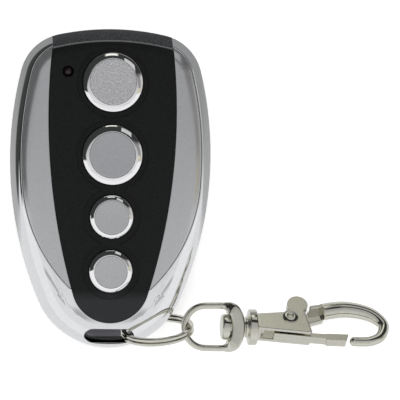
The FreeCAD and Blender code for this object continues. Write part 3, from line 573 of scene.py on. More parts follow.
def make_finishes():
    """Every finish by its name. A row gives tone, metal, roughness and size of the grain, then the
    spread of the tone, the unevenness of the gloss, and the grain's depth, detail and strength."""
    c = colours()
    rows = {
        "black_plastic": (c.black, 0.0, 0.42, 0.00022, 0.5, 0.05, 0.000018, 4.0, 0.5, 0.2),
        "chrome": (c.chrome, 1.0, 0.045, 0.0009, 0.02, 0.015),
        # Painted light: a brighter copy of the chrome for the button bevels, so that they reflect
        # brighter than the frame
        "bevel_chrome_painted_bright": ((0.98, 0.98, 0.985), 1.0, 0.045, 0.0009, 0.01, 0.015),
        "satin_silver": (scaled(c.satin, 0.92), 0.84, 0.2, 0.00016, 0.08, 0.03, 0.000004, 4.0),
        "disc_silver": (scaled(c.satin, 0.95), 1.0, 0.2, 0.00016, 0.08, 0.03, 0.000004, 4.0),
        "sparkle_silver": (scaled(c.satin, 1.33), 1.0, 0.34, 0.0002, 0.34, 0.06, 0.00002, 5.0, 0.6),
        "nickel": (c.nickel, 1.0, 0.09, 0.0006, 0.03, 0.015, 0.000002, 3.0, 0.3),
        "board": ((0.012, 0.09, 0.035), 0.0, 0.4, 0.0008, 0.3, 0.08),
        "package": ((0.02, 0.02, 0.022), 0.0, 0.5, 0.0003, 0.3, 0.05, 0.00001),
        "tin": ((0.6, 0.6, 0.58), 1.0, 0.3, 0.0004, 0.1, 0.08),
        "ceramic": ((0.45, 0.33, 0.2), 0.0, 0.5, 0.0004, 0.15, 0.05),
        "copper": ((0.6, 0.28, 0.14), 1.0, 0.3, 0.0006, 0.15, 0.06),
        "zinc_screw": ((0.5, 0.49, 0.45), 1.0, 0.32, 0.0004, 0.12, 0.08),
    }
    made = {name: grained(name, *row) for name, row in rows.items()}
    return made | {"face_black": face_finish(), "speckled": speckled_finish(),
                   "battery_sleeve": sleeve_finish(), "clear": clear_finish()}


def finish(name):
    """The finish of that name, made once for the whole scene."""
    found = bpy.data.materials.get(f"remote_{name}")
    if found is None:
        raise RuntimeError(f"The finish {name} isn't there: run Finishes first")
    return found


# Finish of each of the model's pieces that keeps its own shape or might be shown by itself
SLOTS = {"back_casing": "black_plastic", "front_casing": "speckled", "face_plate": "black_plastic",
         "chrome_frame": "chrome", "left_side_panel": "satin_silver",
         "right_side_panel": "satin_silver", "led": "clear", "circuit_board": "board",
         "encoder_chip": "package", "saw_resonator": "tin", "rf_transistor": "package",
         "trimmer_capacitor": "ceramic", "resistors": "package", "capacitors": "ceramic",
         "antenna_loop": "copper", "battery": "battery_sleeve", "battery_tip": "tin",
         "contact_positive": "tin", "contact_negative": "tin", "case_screws": "zinc_screw",
         "split_ring": "nickel", "swivel_loop": "nickel", "swivel_rivet": "nickel",
         "swivel_collar": "nickel", "clasp_body": "nickel", "clasp_gate": "nickel",
         "clasp_rivet": "nickel", "gate_spring": "nickel"}
for button in range(1, 5):
    SLOTS[f"button_{button}_cap"] = "chrome"
    SLOTS[f"button_{button}_disc"] = "satin_silver"
    SLOTS[f"switch_{button}_body"] = "package"
    SLOTS[f"switch_{button}_plunger"] = "package"


def ring_matrix():
    """Frame of the split ring: local X to the chain, local Z square to the ring's plane."""
    s = chain()
    turn = Matrix.Rotation(s.ring_yaw, 4, "Z") @ Matrix.Rotation(math.pi - s.ring_lean, 4, "X")
    return Matrix.Translation((s.ring_x, s.ring_y, sizes().slot_height)) @ turn


def chain_matrix(roll=0.0):
    """Frame of the chain: local X along it from the ring, rolled about it for the clasp."""
    s = chain()
    start = ring_matrix() @ Vector((s.ring_radius, 0.0, 0.0))
    start.x -= s.ring_width / 2 + s.loop_gap + s.loop_wire
    turn = Matrix.Rotation(s.chain_drop, 4, "Y") @ Matrix.Rotation(roll, 4, "X")
    return Matrix.Translation(start) @ turn


def moved(points, matrix):
    """The points carried by a 4x4 matrix, as an array."""
    flat = np.asarray(points, dtype=float).reshape(-1, 3)
    m = np.array(matrix)
    return flat @ m[:3, :3].T + m[:3, 3]


def ribbon(path, side, normal, half_side, half_normal, bulge, sides):
    """A superellipse carried along a path: path + side * half_side * sign(cos) |cos|^bulge
    + normal * half_normal * sign(sin) |sin|^bulge, round where bulge is 1."""
    turn = np.linspace(0, 2 * math.pi, sides, endpoint=False)
    c, s = (np.sign(wave) * np.abs(wave) ** bulge for wave in (np.cos(turn), np.sin(turn)))
    half_side, half_normal = (np.broadcast_to(half, (len(path),))[:, None, None]
                              for half in (half_side, half_normal))
    return (path[:, None] + side[:, None] * c[None, :, None] * half_side
            + normal[:, None] * s[None, :, None] * half_normal)


def plate(outline, low, high):
    """A flat plate: a plan outline between two heights, with its two faces as single polygons."""
    count = len(outline)
    points = np.concatenate([np.column_stack([outline, np.full(count, level)])
                             for level in (low, high)])
    ring = np.arange(count)
    walls = np.stack([ring, (ring + 1) % count, (ring + 1) % count + count, ring + count], -1)
    return points, [list(range(count))[::-1], list(range(count, 2 * count))] + walls.tolist()


def soften(piece, width, segments):
    """Rounds the piece's sharp edges and keeps its flats flat in the shading."""
    bevel = piece.modifiers.new("rounding", "BEVEL")
    bevel.width = width
    bevel.segments = segments
    bevel.limit_method = "ANGLE"
    bevel.angle_limit = math.radians(30.0)
    bevel.harden_normals = True
    bevel.use_clamp_overlap = True


def smooth(line, spans, share, closed):
    """A Catmull-Rom spline: on the span from b to c, between neighbours a and d, at the share f,
    (2b + (c - a) f + (2a - 5b + 4c - d) f^2 + (3b - a - 3c + d) f^3) / 2."""
    f = share[:, None]
    if closed:
        a, b, c, d = (line[(spans + k) % len(line)] for k in (-1, 0, 1, 2))
    else:
        ends = np.concatenate([[2 * line[0] - line[1]], line, [2 * line[-1] - line[-2]]])
        a, b, c, d = (ends[spans + k] for k in range(4))
    return 0.5 * (2 * b + (c - a) * f + (2 * a - 5 * b + 4 * c - d) * f ** 2
                  + (3 * b - a - 3 * c + d) * f ** 3)


def smooth_line(line, count, closed=False):
    """A smooth line through the points: an open one in count steps of the spline, a closed one
    in count even steps of its length."""
    size = len(line)
    if closed:
        t = np.linspace(0, size, size * 12, endpoint=False)
    else:
        t = np.linspace(0, size - 1 - 1e-9, count)
    spans = np.floor(t).astype(int)
    dense = smooth(line, spans, t - spans, closed)
    return spaced(np.concatenate([dense, dense[:1]]), count + 1)[:-1] if closed else dense


def eased(share):
    """A share held between 0 and 1 that starts and ends gently: 3 t^2 - 2 t^3."""
    t = np.clip(share, 0.0, 1.0)
    return t * t * (3 - 2 * t)


class REMOTE_OT_split_ring(bpy.types.Operator):
    """Coil one flat strip through two turns, with the quick step where it changes coil"""
    bl_idname = "remote.split_ring"
    bl_label = "Split ring"

    def execute(self, context):
        s = chain()
        first = math.radians(-62.0)
        length_turned = 4 * math.pi - 0.5
        step_turned = 0.44
        gap = 0.02 * MM
        turn = np.linspace(0.0, length_turned, 420)
        around = np.stack([np.cos(turn + first), np.sin(turn + first), np.zeros_like(turn)], -1)
        path = around * s.ring_radius
        step = eased((turn - length_turned / 2) / step_turned + 0.5)
        path[:, 2] = (step - 0.5) * (s.ring_height + 2 * gap)
        upright = np.broadcast_to([0.0, 0.0, 1.0], path.shape)
        sides = 36
        points = ribbon(path, around, upright, s.ring_width / 2, s.ring_height / 2 * 0.98,
                        2 / 3.6, sides)
        last = (len(path) - 1) * sides
        faces = grid_faces(len(path), sides, wrap_columns=True)[:, ::-1].tolist()
        faces += [list(range(sides)), list(range(last, last + sides))[::-1]]
        build("split_ring_coil", moved(points, ring_matrix()), faces, "ring", "nickel",
              ["split_ring"])
        return {"FINISHED"}


class REMOTE_OT_swivel(bpy.types.Operator):
    """Bend the swivel loop from wire into a wide web, and turn its rivet and collar"""
    bl_idname = "remote.swivel"
    bl_label = "Swivel"

    def execute(self, context):
        s = chain()
        web_u = s.loop_length - s.loop_web - s.loop_wire * 0.25
        self.strap(web_u)
        self.turned_pieces(web_u)
        return {"FINISHED"}

    def strap(self, web_u):
        """A bow of round wire and a cross web, one closed line, whose section goes over from
        round to nearly square, thicker and taller, by an eased share of the way to the web."""
        s = chain()
        half = s.loop_width / 2
        wire = s.loop_wire / 2
        middle = half - wire
        crest = s.loop_length - 1.35 * MM
        web_half = 1.28 * MM
        bend = np.linspace(math.pi / 2, 3 * math.pi / 2, 60)
        bow = np.stack([half + middle * np.cos(bend), middle * np.sin(bend)], -1)
        quarter = np.array([[web_u - 0.9 * MM, middle], [web_u + 0.55 * MM, middle - 0.62 * MM],
                            [crest - 0.3 * MM, middle * 0.5], [crest, 0.0]])
        corner = np.concatenate([quarter * np.array([1.0, -1.0]), quarter[::-1][1:]])
        line = smooth_line(np.concatenate([bow, corner]), 240, closed=True)
        ahead = np.roll(line, -1, 0) - np.roll(line, 1, 0)
        ahead = ahead / np.hypot(*ahead.T)[:, None]
        side = np.column_stack([-ahead[:, 1], ahead[:, 0], np.zeros(len(line))])
        path = np.column_stack([line, np.zeros(len(line))])
        upright = np.broadcast_to([0.0, 0.0, 1.0], path.shape)
        widen = eased((line[:, 0] - (web_u - 1.3 * MM)) / (2.2 * MM))
        thick = wire + (web_half - wire) * widen
        wide = wire + (s.loop_web_height / 2 - wire) * widen
        sides = 40
        share = widen[:, None, None]
        points = (ribbon(path, side, upright, thick, wide, 1.0, sides) * (1 - share)
                  + ribbon(path, side, upright, thick, wide, 0.35, sides) * share)
        faces = grid_faces(len(path), sides, wrap_rows=True, wrap_columns=True)
        build("swivel_loop_strap", moved(points, chain_matrix()), faces, "loop", "nickel",
              ["swivel_loop"])

    def turned_pieces(self, web_u):
        """The rivet and the collar, profiles of (radius, place along the chain) in millimetres,
        turned about the chain's line."""
        s = chain()
        roll = chain_matrix(s.chain_roll)
        start = roll.to_translation()
        axis = roll.to_3x3() @ Vector((1.0, 0.0, 0.0))
        head = (web_u / MM - 0.06) - 1.4
        collar = s.loop_length / MM + 0.7
        end = collar + 1.5 + 0.9
        washer = collar - 0.64
        rivet = [(0.0, head), (2.45, head), (2.45, head + 1.4), (1.0, head + 1.4), (1.0, end),
                 (1.2, end), (1.2, end + 0.5), (0.0, end + 0.5)]
        ring = [(1.02, washer), (2.0, washer), (2.0, collar - 0.2), (2.9, collar), (3.4, collar),
                (3.4, collar + 1.5), (1.02, collar + 1.5), (1.02, washer)]
        for name, profile, radii, steps, count in (
                ("rivet", rivet, (0, 0.6, 0.15, 0, 0, 0, 0.1, 0), 7, 72),
                ("collar", ring, (0, 0.15, 0.2, 0.2, 0.45, 0.3, 0, 0), 6, 96)):
            softened = rounded(np.array(profile) * MM, np.array(radii) * MM, steps)
            points, faces = spin(softened, start, axis, count)
            build(f"swivel_{name}_turned", points, faces, "clasp", "nickel",
                  [f"swivel_{name}"])


# The clasp's lines in its own plane, in millimetres: along the chain, and across it

# Middle of the hook's wire with the wire's radius there
HOOK_LINE = [(24.7, 3.05, 1.25), (27.39, 3.74, 1.58), (30.8, 4.33, 1.55), (33.5, 4.14, 1.48),
             (36.1, 3.34, 1.35), (37.9, 1.98, 1.2), (38.75, 0.3, 1.07), (37.9, -2.0, 1.0),
             (36.05, -3.08, 0.95), (34.2, -3.26, 0.93), (32.8, -3.22, 0.93)]
HOOK_START = 27.0
SIDE_PLATE = [(14.3, -1.65), (24.7, -2.8), (23.55, 2.6), (14.3, 1.8)]
SIDE_CORNERS = [0.0, 0.7, 0.35, 0.0]
YOKE = [(14.3, -1.65), (15.2, -1.65), (15.2, 1.8), (14.3, 1.8)]
HOOK_ROOT = [(23.6, 0.75), (27.4, 1.95), (27.4, 4.75), (24.75, 4.3), (23.7, 2.4)]
ROOT_RIDGE = [(24.75, 3.5), (27.4, 4.05), (27.4, 4.75), (24.75, 4.3)]
GATE_PIVOT = (20.7, 1.0)
THUMB = (22.5, 4.75, 1.97)
GATE_ARM = [(17.5, -1.1), (17.5, -2.2), (27.3, -3.3), (27.4, -3.6), (31.1, -3.75), (31.68, -2.25),
            (27.4, -2.1), (27.3, -2.2), (23.7, -1.95)]
GATE_FOOT = [(20.45, 2.4), (19.0, 1.0), (18.6, -1.1)]
# Half of the eyelet's profile: radius, and height from the middle of the clasp
EYELET = [(0.45, 0.0), (0.45, 2.25), (0.62, 2.45), (0.95, 2.45), (1.5, 2.3), (1.5, 2.1),
          (0.8, 2.1), (0.8, 0.0)]


def arc_points(centre, radius, start, stop, count):
    """Points of an arc: centre + radius * (cos, sin) of angles from start to stop in degrees."""
    turn = np.radians(np.linspace(start, stop, count))
    return np.asarray(centre) + radius * np.stack([np.cos(turn), np.sin(turn)], -1)


class REMOTE_OT_clasp(bpy.types.Operator):
    """Cast the clasp's trough and hook, cut its gate, and set the eyelet"""
    bl_idname = "remote.clasp"
    bl_label = "Clasp"

    def execute(self, context):
        roll = chain_matrix(chain().chain_roll)
        side = rounded(SIDE_PLATE, SIDE_CORNERS, 6, closed=True)
        body = self.cut("clasp_trough", "clasp", "clasp_body", roll, [
            (side, 1.3, 2.1), (side, -2.1, -1.3), (YOKE, -2.05, 2.05), (HOOK_ROOT, -1.5, -0.2),
            (ROOT_RIDGE, -0.6, 1.35)])
        soften(body, 0.38 * MM, 4)
        line = smooth_line(np.array(HOOK_LINE) * MM, 140)
        line = line[np.argmax(line[:, 0] >= HOOK_START * MM):]
        points, faces = tube(np.column_stack([line[:, :2], np.zeros(len(line))]), line[:, 2], 48)
        middle = np.array([*line[0, :2], 0.0])
        blunt = 8
        share = np.linspace(0.0, 1.0, blunt)[:, None, None]
        points[:blunt] = middle + (points[blunt] - middle) * share
        build("clasp_hook_bow", moved(points, roll), faces, "clasp", "nickel")
        thumb = arc_points(THUMB[:2], THUMB[2], -15.0, 195.0, 40)
        bowl = arc_points(GATE_PIVOT, 2.5, 96.0, 35.0, 16)
        lever = np.concatenate([GATE_ARM, [(22.5, 1.0)], thumb, GATE_FOOT])
        gate = self.cut("clasp_gate_lever", "gate", "clasp_gate", roll, [
            (lever, -1.0, 0.1), (GATE_ARM, 0.1, 1.0), (np.concatenate([thumb, bowl]), 0.1, 1.0)])
        soften(gate, 0.16 * MM, 3)
        centre = roll @ Vector((GATE_PIVOT[0] * MM, GATE_PIVOT[1] * MM, 0.0))
        axis = roll.to_3x3() @ Vector((0.0, 0.0, 1.0))
        profile = np.array(EYELET + [(r, -h) for r, h in EYELET[::-1][1:]]) * MM
        points, faces = spin(rounded(profile, 0.12 * MM, 4), centre, axis, 64)
        build("clasp_eyelet", points, faces, "clasp", "nickel", ["clasp_rivet"])
        return {"FINISHED"}

    def cut(self, name, body, replaced, roll, layers):
        """One piece of flat plates, each an outline between two heights in millimetres."""
        points, faces = merged([plate(np.array(outline) * MM, low * MM, high * MM)
                                for outline, low, high in layers])
        return build(name, moved(points, roll), faces, body, "nickel", [replaced])


# Rounds in which a point on the slot's edge settles, and how near a circle snaps the face's points
SETTLE = 25
SNAP = 0.065 * MM


def inner_line():
    """Right half of the chrome frame's inner edge, from the antenna end to the face plate's nose."""
    s = sizes()
    shoulder, side, lower = panel_line(0.0)
    keep = shoulder[shoulder[:, 0] >= s.frame_end_x]
    edge = np.concatenate(tongue((60, 300, 120)))
    tail = edge[edge[:, 1] <= s.panel_foot_y]
    centre = arcs()["shoulder"]
    end_y = centre[1] + math.sqrt(s.shoulder ** 2 - (s.frame_end_x - centre[0]) ** 2)
    end = np.column_stack([np.full(24, s.frame_end_x),
                           np.linspace(end_y - 0.01 * MM, keep[0, 1], 24)])
    line = np.concatenate([end, keep[1:], side[1:], lower[1:], tail])
    reach = np.concatenate([[0.0], np.cumsum(np.hypot(*np.diff(line, axis=0).T))])
    line = line[np.concatenate([[True], np.diff(reach) > 1e-7])]
    line = spaced(line, 560)
    line[-1] = (0.0, face().nose_y)
    return line


def both_sides(right):
    """A right half that ends on the middle line, continued by its mirror image."""
    left = right[::-1][1:] * np.array([-1.0, 1.0])
    return np.concatenate([right, left])


def slot_level(y, z):
    """Where the slot's leaning direction through (y, z) passes the slot's own height."""
    return y + (z - sizes().slot_height) / math.tan(chain().ring_lean)


def on_front(x, level):
    """Y and height of the front's points that lie at the given slot levels. The new y depends on
    its own height, so it is found in halving steps."""
    y = level.copy()
    for _ in range(SETTLE):
        y = y + 0.5 * (level - slot_level(y, front_height(x, y)))
    return y, front_height(x, y)


def oval_distance(x, level):
    """Signed distance from the slot's mouth, an oval, in plan at the slot's height: the distance
    from the oval's middle line less half its width. Also the way out."""
    s = sizes()
    past = np.maximum(np.abs(x) - (s.slot_length - s.slot_width) / 2, 0.0)
    off = level - s.slot_y
    far = np.maximum(np.hypot(past, off), 1e-9)
    return far - s.slot_width / 2 - s.slot_lip, past * np.sign(x) / far, off / far


class REMOTE_OT_chrome_frame(bpy.types.Operator):
    """Sweep the plated frame from shoulder to shoulder round the tail, and open its slot"""
    bl_idname = "remote.chrome_frame"
    bl_label = "Chrome frame"

    def execute(self, context):
        s = sizes()
        inner = both_sides(inner_line())
        depth, out_x, out_y = inset_of(inner[:, 0], inner[:, 1])
        middle = len(inner) // 2
        out_x[middle] = 0.0
        out_y[middle] = -1.0
        rows_down = 44
        crowding = 1.6
        share = np.concatenate([[1.0, 1.0], np.linspace(1.0, 0.0, rows_down)])
        lip = 0.1 * MM
        inset = share[:, None] ** crowding * (depth[None] - lip)
        inset[:2] = depth
        x = inner[None, :, 0] + out_x[None] * (depth[None] - inset)
        y = inner[None, :, 1] + out_y[None] * (depth[None] - inset)
        z = front_height(x, y)
        level = slot_level(y, z)
        hole_gap, way_x, way_y = oval_distance(x, level)
        cell = 0.16 * MM
        near = np.abs(hole_gap) < cell
        x[near] -= (way_x * hole_gap)[near]
        y[near], z[near] = on_front(x[near], (level - way_y * hole_gap)[near])
        z[0] -= 0.7 * MM
        z[1] -= lip
        rim = z[-1]
        wall = [np.stack([x[-1], y[-1], rim + (s.parting + lip - rim) * t], -1)
                for t in (0.35, 0.7, 1.0)]
        foot = [np.stack([x[-1] - out_x * inward, y[-1] - out_y * inward,
                          np.full(len(inner), s.parting)], -1) for inward in (lip, s.skin)]
        points = np.concatenate([np.stack([x, y, z], -1), wall, foot])
        faces = grid_faces(len(points), len(inner))
        inside = np.zeros(points.shape[:2], dtype=bool)
        inside[:len(share)] = hole_gap < -cell
        edge = np.zeros(points.shape[:2], dtype=bool)
        edge[:len(share)] = near
        opened = inside.reshape(-1)[faces].any(1) | (inside | edge).reshape(-1)[faces].all(1)
        faces = faces[~opened]
        points, faces = merged([(points, faces), self.slot_lip()])
        build("chrome_frame_shell", points, faces, "housing", "chrome",
              ["chrome_frame"], weld=True)
        return {"FINISHED"}

    def slot_lip(self):
        """The rolled edge of the slot: a short wall that runs down the slot's own direction."""
        s = sizes()
        reach = (s.slot_length - s.slot_width) / 2
        turn = np.linspace(0, 2 * math.pi, 240, endpoint=False)
        lean = 1.0 / math.tan(chain().ring_lean)
        rows = []
        for widen, drop in ((0.0, 0.0), (-0.07, 0.05), (-0.12, 0.14), (-0.13, 0.3)):
            half = s.slot_width / 2 + s.slot_lip + widen * MM
            x = np.cos(turn) * half + np.sign(np.cos(turn)) * reach
            y, z = on_front(x, np.sin(turn) * half + s.slot_y)
            rows.append(np.stack([x, y + drop * MM * lean, z - drop * MM], -1))
        return np.stack(rows), grid_faces(len(rows), len(turn), wrap_columns=True)


def panel_grid(columns=200, rows=26):
    """Right side panel: straight rulings between the face plate's edge and the panel's outer
    line, both run from the antenna end to the tail, as plan points of rows by columns."""
    s = sizes()
    edge = tongue((60, 300, 120))[1]
    inner = spaced(edge[edge[:, 1] > s.panel_foot_y], columns)
    shoulder, side, lower = panel_line(s.seam)
    outer = np.concatenate([shoulder[shoulder[:, 0] >= s.frame_end_x], side[1:], lower[1:]])
    outer = spaced(outer, columns)
    across = outer - inner
    wide = np.hypot(*across.T)[:, None]
    unit = across / np.maximum(wide, 1e-9)
    gap = 0.03 * MM
    lip = np.minimum(0.1 * MM, wide[:, 0] * 0.3)
    span = np.maximum(wide[:, 0] - gap, 1e-6)
    reach = [lip + (span - 2 * lip) * t for t in np.linspace(0, 1, rows - 4)]
    reach = np.stack([0 * span, 0 * span] + reach + [span, span])
    plan = (inner + unit * gap)[None] + unit[None] * reach[..., None]
    drop = np.zeros_like(reach)
    drop[[0, -1]] = 0.8 * MM
    drop[[1, -2]] = 0.1 * MM
    return plan, drop


class REMOTE_OT_side_panels(bpy.types.Operator):
    """Lay the two satin panels between the face plate and the frame"""
    bl_idname = "remote.side_panels"
    bl_label = "Side panels"

    def execute(self, context):
        plan, drop = panel_grid()
        z = front_height(plan[..., 0], plan[..., 1]) - drop
        for side, name in ((-1.0, "left"), (1.0, "right")):
            points = np.stack([plan[..., 0] * side, plan[..., 1], z], -1)
            build(f"{name}_panel_skin", points, grid_faces(*z.shape), "housing", "satin_silver",
                  [f"{name}_side_panel"], weld=True)
        return {"FINISHED"}


def face_edge_width():
    """Half width of the face plate for any place along it, up to its top corners."""
    line = np.concatenate(tongue((60, 400, 200))[1:])
    order = np.argsort(line[:, 1])
    return line[order, 1], line[order, 0]


class REMOTE_OT_face_plate(bpy.types.Operator):
    """Mould the black face plate with its scalloped recess, button wells and light hole"""
    bl_idname = "remote.face_plate"
    bl_label = "Face plate"

    def execute(self, context):
        s = face()
        known_y, known_x = face_edge_width()
        corner_y = tongue()[1][0][1]
        across = np.linspace(-1.0, 1.0, 191)
        along = np.linspace(0.0, 1.0, 441)
        along = np.where(along < 0.06, along ** 2 / 0.12, along - 0.03) / 0.97
        base = s.nose_y + along * (corner_y - s.nose_y)
        x = np.interp(base, known_y, known_x)[:, None] * across[None]
        top_centre = s.top_y - s.top_arc
        arch = top_centre + np.sqrt(s.top_arc ** 2 - x ** 2) - corner_y
        lift = np.clip((along - 0.6) / 0.4, 0.0, 1.0)[:, None]
        y = base[:, None] + arch * lift
        x = np.where(y < corner_y, np.interp(y, known_y, known_x) * across[None], x)
        inside = -0.02 * MM
        x, y, scallop = self.snapped(x, y, BUTTONS[:, 3])
        drop = np.where(scallop < inside, s.recess_depth, 0.0)
        x, y, well = self.snapped(x, y, BUTTONS[:, 1] + s.button_gap)
        drop = np.where(well < inside, 1.3 * MM, drop)
        hole = np.hypot(x - s.led_x, y - s.led_y) - s.led_hole
        near = np.abs(hole) < SNAP
        pull = np.where(near, s.led_hole / np.maximum(hole + s.led_hole, 1e-6), 1.0)
        x = s.led_x + (x - s.led_x) * pull
        y = s.led_y + (y - s.led_y) * pull
        drop = np.where((hole < 0) & ~near, 1.6 * MM, drop)
        z = front_height(x, y) - drop
        lip = np.full_like(z, 0.08 * MM)
        lip[1:-1, 1:-1] = 0.0
        points = np.stack([x, y, z - lip], -1)
        rim = np.concatenate([points[:, 0], points[-1, 1:], points[-2::-1, -1]])
        wall = np.stack([rim, rim - [0.0, 0.0, 0.9 * MM]])
        points, faces = merged([(points, grid_faces(*x.shape)), (wall, grid_faces(2, len(rim)))])
        build("face_plate_moulding", points, faces, "housing", "face_black",
              ["face_plate"], weld=True)
        return {"FINISHED"}

    def snapped(self, x, y, radii):
        """Moves the points that lie near any of the button circles onto them; also returns the
        distance from the nearest circle, negative inside, 0 for the moved points."""
        spots = np.stack([x, y, front_height(x, y)], -1)
        gap = np.full(x.shape, 1.0)
        unit = np.zeros(x.shape + (2,))
        for middle, radius in zip(BUTTONS[:, 0], radii):
            point, normal = crown_frame(middle)
            offset = spots - point
            height = offset @ normal
            flat = offset - height[..., None] * normal
            far = np.linalg.norm(flat, axis=-1)
            nearer = far - radius < gap
            gap = np.where(nearer, far - radius, gap)
            toward = flat[..., :2] / np.maximum(far, 1e-9)[..., None]
            unit = np.where(nearer[..., None], toward, unit)
        near = np.abs(gap) < SNAP
        moved = np.where(near, gap, 0.0)
        return x - unit[..., 0] * moved, y - unit[..., 1] * moved, gap - moved


class REMOTE_OT_buttons(bpy.types.Operator):
    """Turn the four plated button caps with their flanges and posts, and their satin discs"""
    bl_idname = "remote.buttons"
    bl_label = "Buttons"

    def execute(self, context):
        s = face()
        switch_top = 10.19 * MM
        post = 1.6 * MM
        flange = 0.5 * MM
        soft_foot = 0.06 * MM
        soft_crest = 0.03 * MM
        floor = 0.5 * MM
        rise = s.button_rise
        bevel_steps = 15
        tilt = np.tan(np.radians(np.linspace(44.0, 20.0, bevel_steps)))
        fall = np.concatenate([[0.0], np.cumsum(tilt[1:] + tilt[:-1])])
        climb = s.bevel_rise + (rise - s.bevel_rise) * fall / fall[-1]
        for i, (place_y, radius, disc, _) in enumerate(BUTTONS):
            point, normal = crown_frame(place_y)
            wide = radius + flange
            flange_top = -sizes().skin - 0.06 * MM - wide ** 2 / (2 * sizes().crown)
            flange_low = flange_top - 0.6 * MM
            foot = -(point[2] - switch_top) / normal[2]
            corners = [(0.0, foot), (post, foot), (post, flange_low), (wide, flange_low),
                       (wide, flange_top), (radius, flange_top)]
            corners += list(zip(np.linspace(radius, disc + 0.06 * MM, bevel_steps), climb))
            corners += [(disc, rise - 0.03 * MM), (disc, rise - floor), (0.0, rise - floor)]
            soft = [0] * 6 + [soft_foot] + [0] * (bevel_steps - 2) + [soft_crest, soft_crest, 0, 0]
            name = f"button_{i + 1}"
            points, faces = spin(rounded(corners, soft, 6), point, normal, 144)
            # The bevel takes the brighter copy of the chrome, a painted light
            build(f"{name}_bezel", points, faces, name, "bevel_chrome_painted_bright", [f"{name}_cap"],
                  weld=True)
            edge = disc - 0.03 * MM
            under = rise - 0.48 * MM
            share = 1.0 - np.linspace(0.03, 1.0, 12)
            dish = list(zip(edge * share, rise - 0.045 * MM * (1 - share ** 2)))
            corners = [(0.0, under), (edge, under), (edge, rise - 0.01 * MM)] + dish
            soft = [0, 0, 0.06 * MM] + [0] * len(dish)
            points, faces = spin(rounded(corners, soft, 5), point, normal, 128)
            look = "sparkle_silver" if i == 0 else "disc_silver"
            build(f"{name}_inlay", points, faces, name, look, [f"{name}_disc"],
                  weld=True)
        return {"FINISHED"}


def place_camera():
    """A long lens high over the remote, leaning and rolled as the photograph was taken."""
    distance = 1.6
    seen_width = 0.07556
    aim = Vector((0.01713, -0.00202, 0.005))
    sideways = math.tan(math.radians(3.6)) * distance
    roll = math.radians(0.6)
    data = bpy.data.cameras.new("photo_camera")
    data.sensor_width = 36.0
    data.lens = data.sensor_width * math.hypot(distance, sideways) / seen_width
    data.clip_start = 0.05
    data.clip_end = 10.0
    camera = bpy.data.objects.new("photo_camera", data)
    bpy.context.scene.collection.objects.link(camera)
    spot = aim + Vector((-sideways, 0.0, distance))
    back = (spot - aim).normalized()
    right = Vector((-math.sin(roll), math.cos(roll), 0.0)).cross(back).normalized()
    up = back.cross(right).normalized()
    turn = Matrix((right, up, back)).transposed().to_4x4()
    camera.matrix_world = Matrix.Translation(spot) @ turn
    bpy.context.scene.camera = camera


def lamp(name, spot, aim, size, power, depth=None, in_gloss=False):
    """A soft rectangular lamp at spot, turned to aim; gloss shows it only where asked."""
    data = bpy.data.lights.new(name, "AREA")
    data.shape = "RECTANGLE"
    data.size = size
    data.size_y = depth or size
    data.energy = power
    light = bpy.data.objects.new(name, data)
    light.location = spot
    light.rotation_euler = (Vector(aim) - Vector(spot)).to_track_quat("-Z", "Y").to_euler()
    light.visible_glossy = in_gloss
    light.visible_camera = False
    bpy.context.scene.collection.objects.link(light)


def fading(tree, source, start, stop):
    """0 at start, going over to 1 at stop, whichever of the two is the greater."""
    if start < stop:
        return ranged(tree, source, 0.0, 1.0, start, stop)
    return ranged(tree, source, 1.0, 0.0, stop, start)


def times(tree, *shares):
    """The product of several shares."""
    product = shares[0]
    for share in shares[1:]:
        product = reckoned(tree, "MULTIPLY", product, share)
    return product


def window(tree, source, low, high, soft):
    """1 between low and high, falling to 0 over soft on both sides."""
    return times(tree, fading(tree, source, low - soft, low), fading(tree, source, high + soft, high))


def within(tree, place_on_floor, middle, reach, soft):
    """One inside an ellipse round middle with half sizes reach, none outside: the length of
    (place - middle) / reach, faded from the share soft to the edge."""
    scale = (1 / reach[0], 1 / reach[1], 0.0)
    shift = (-middle[0] / reach[0], -middle[1] / reach[1], 0.0)
    share = add_node(tree, "VectorMath", {0: place_on_floor, 1: scale, 2: shift},
                     operation="MULTIPLY_ADD")
    far = add_node(tree, "VectorMath", {0: share.outputs["Vector"]}, operation="LENGTH")
    return fading(tree, far.outputs["Value"], 1.0, soft)


def layered(tree, ground, *layers):
    """A ground colour under layers of (share, colour), each laid over what is below it."""
    for share, tone in layers:
        ground = mixed(tree, share, ground, tone)
    return ground


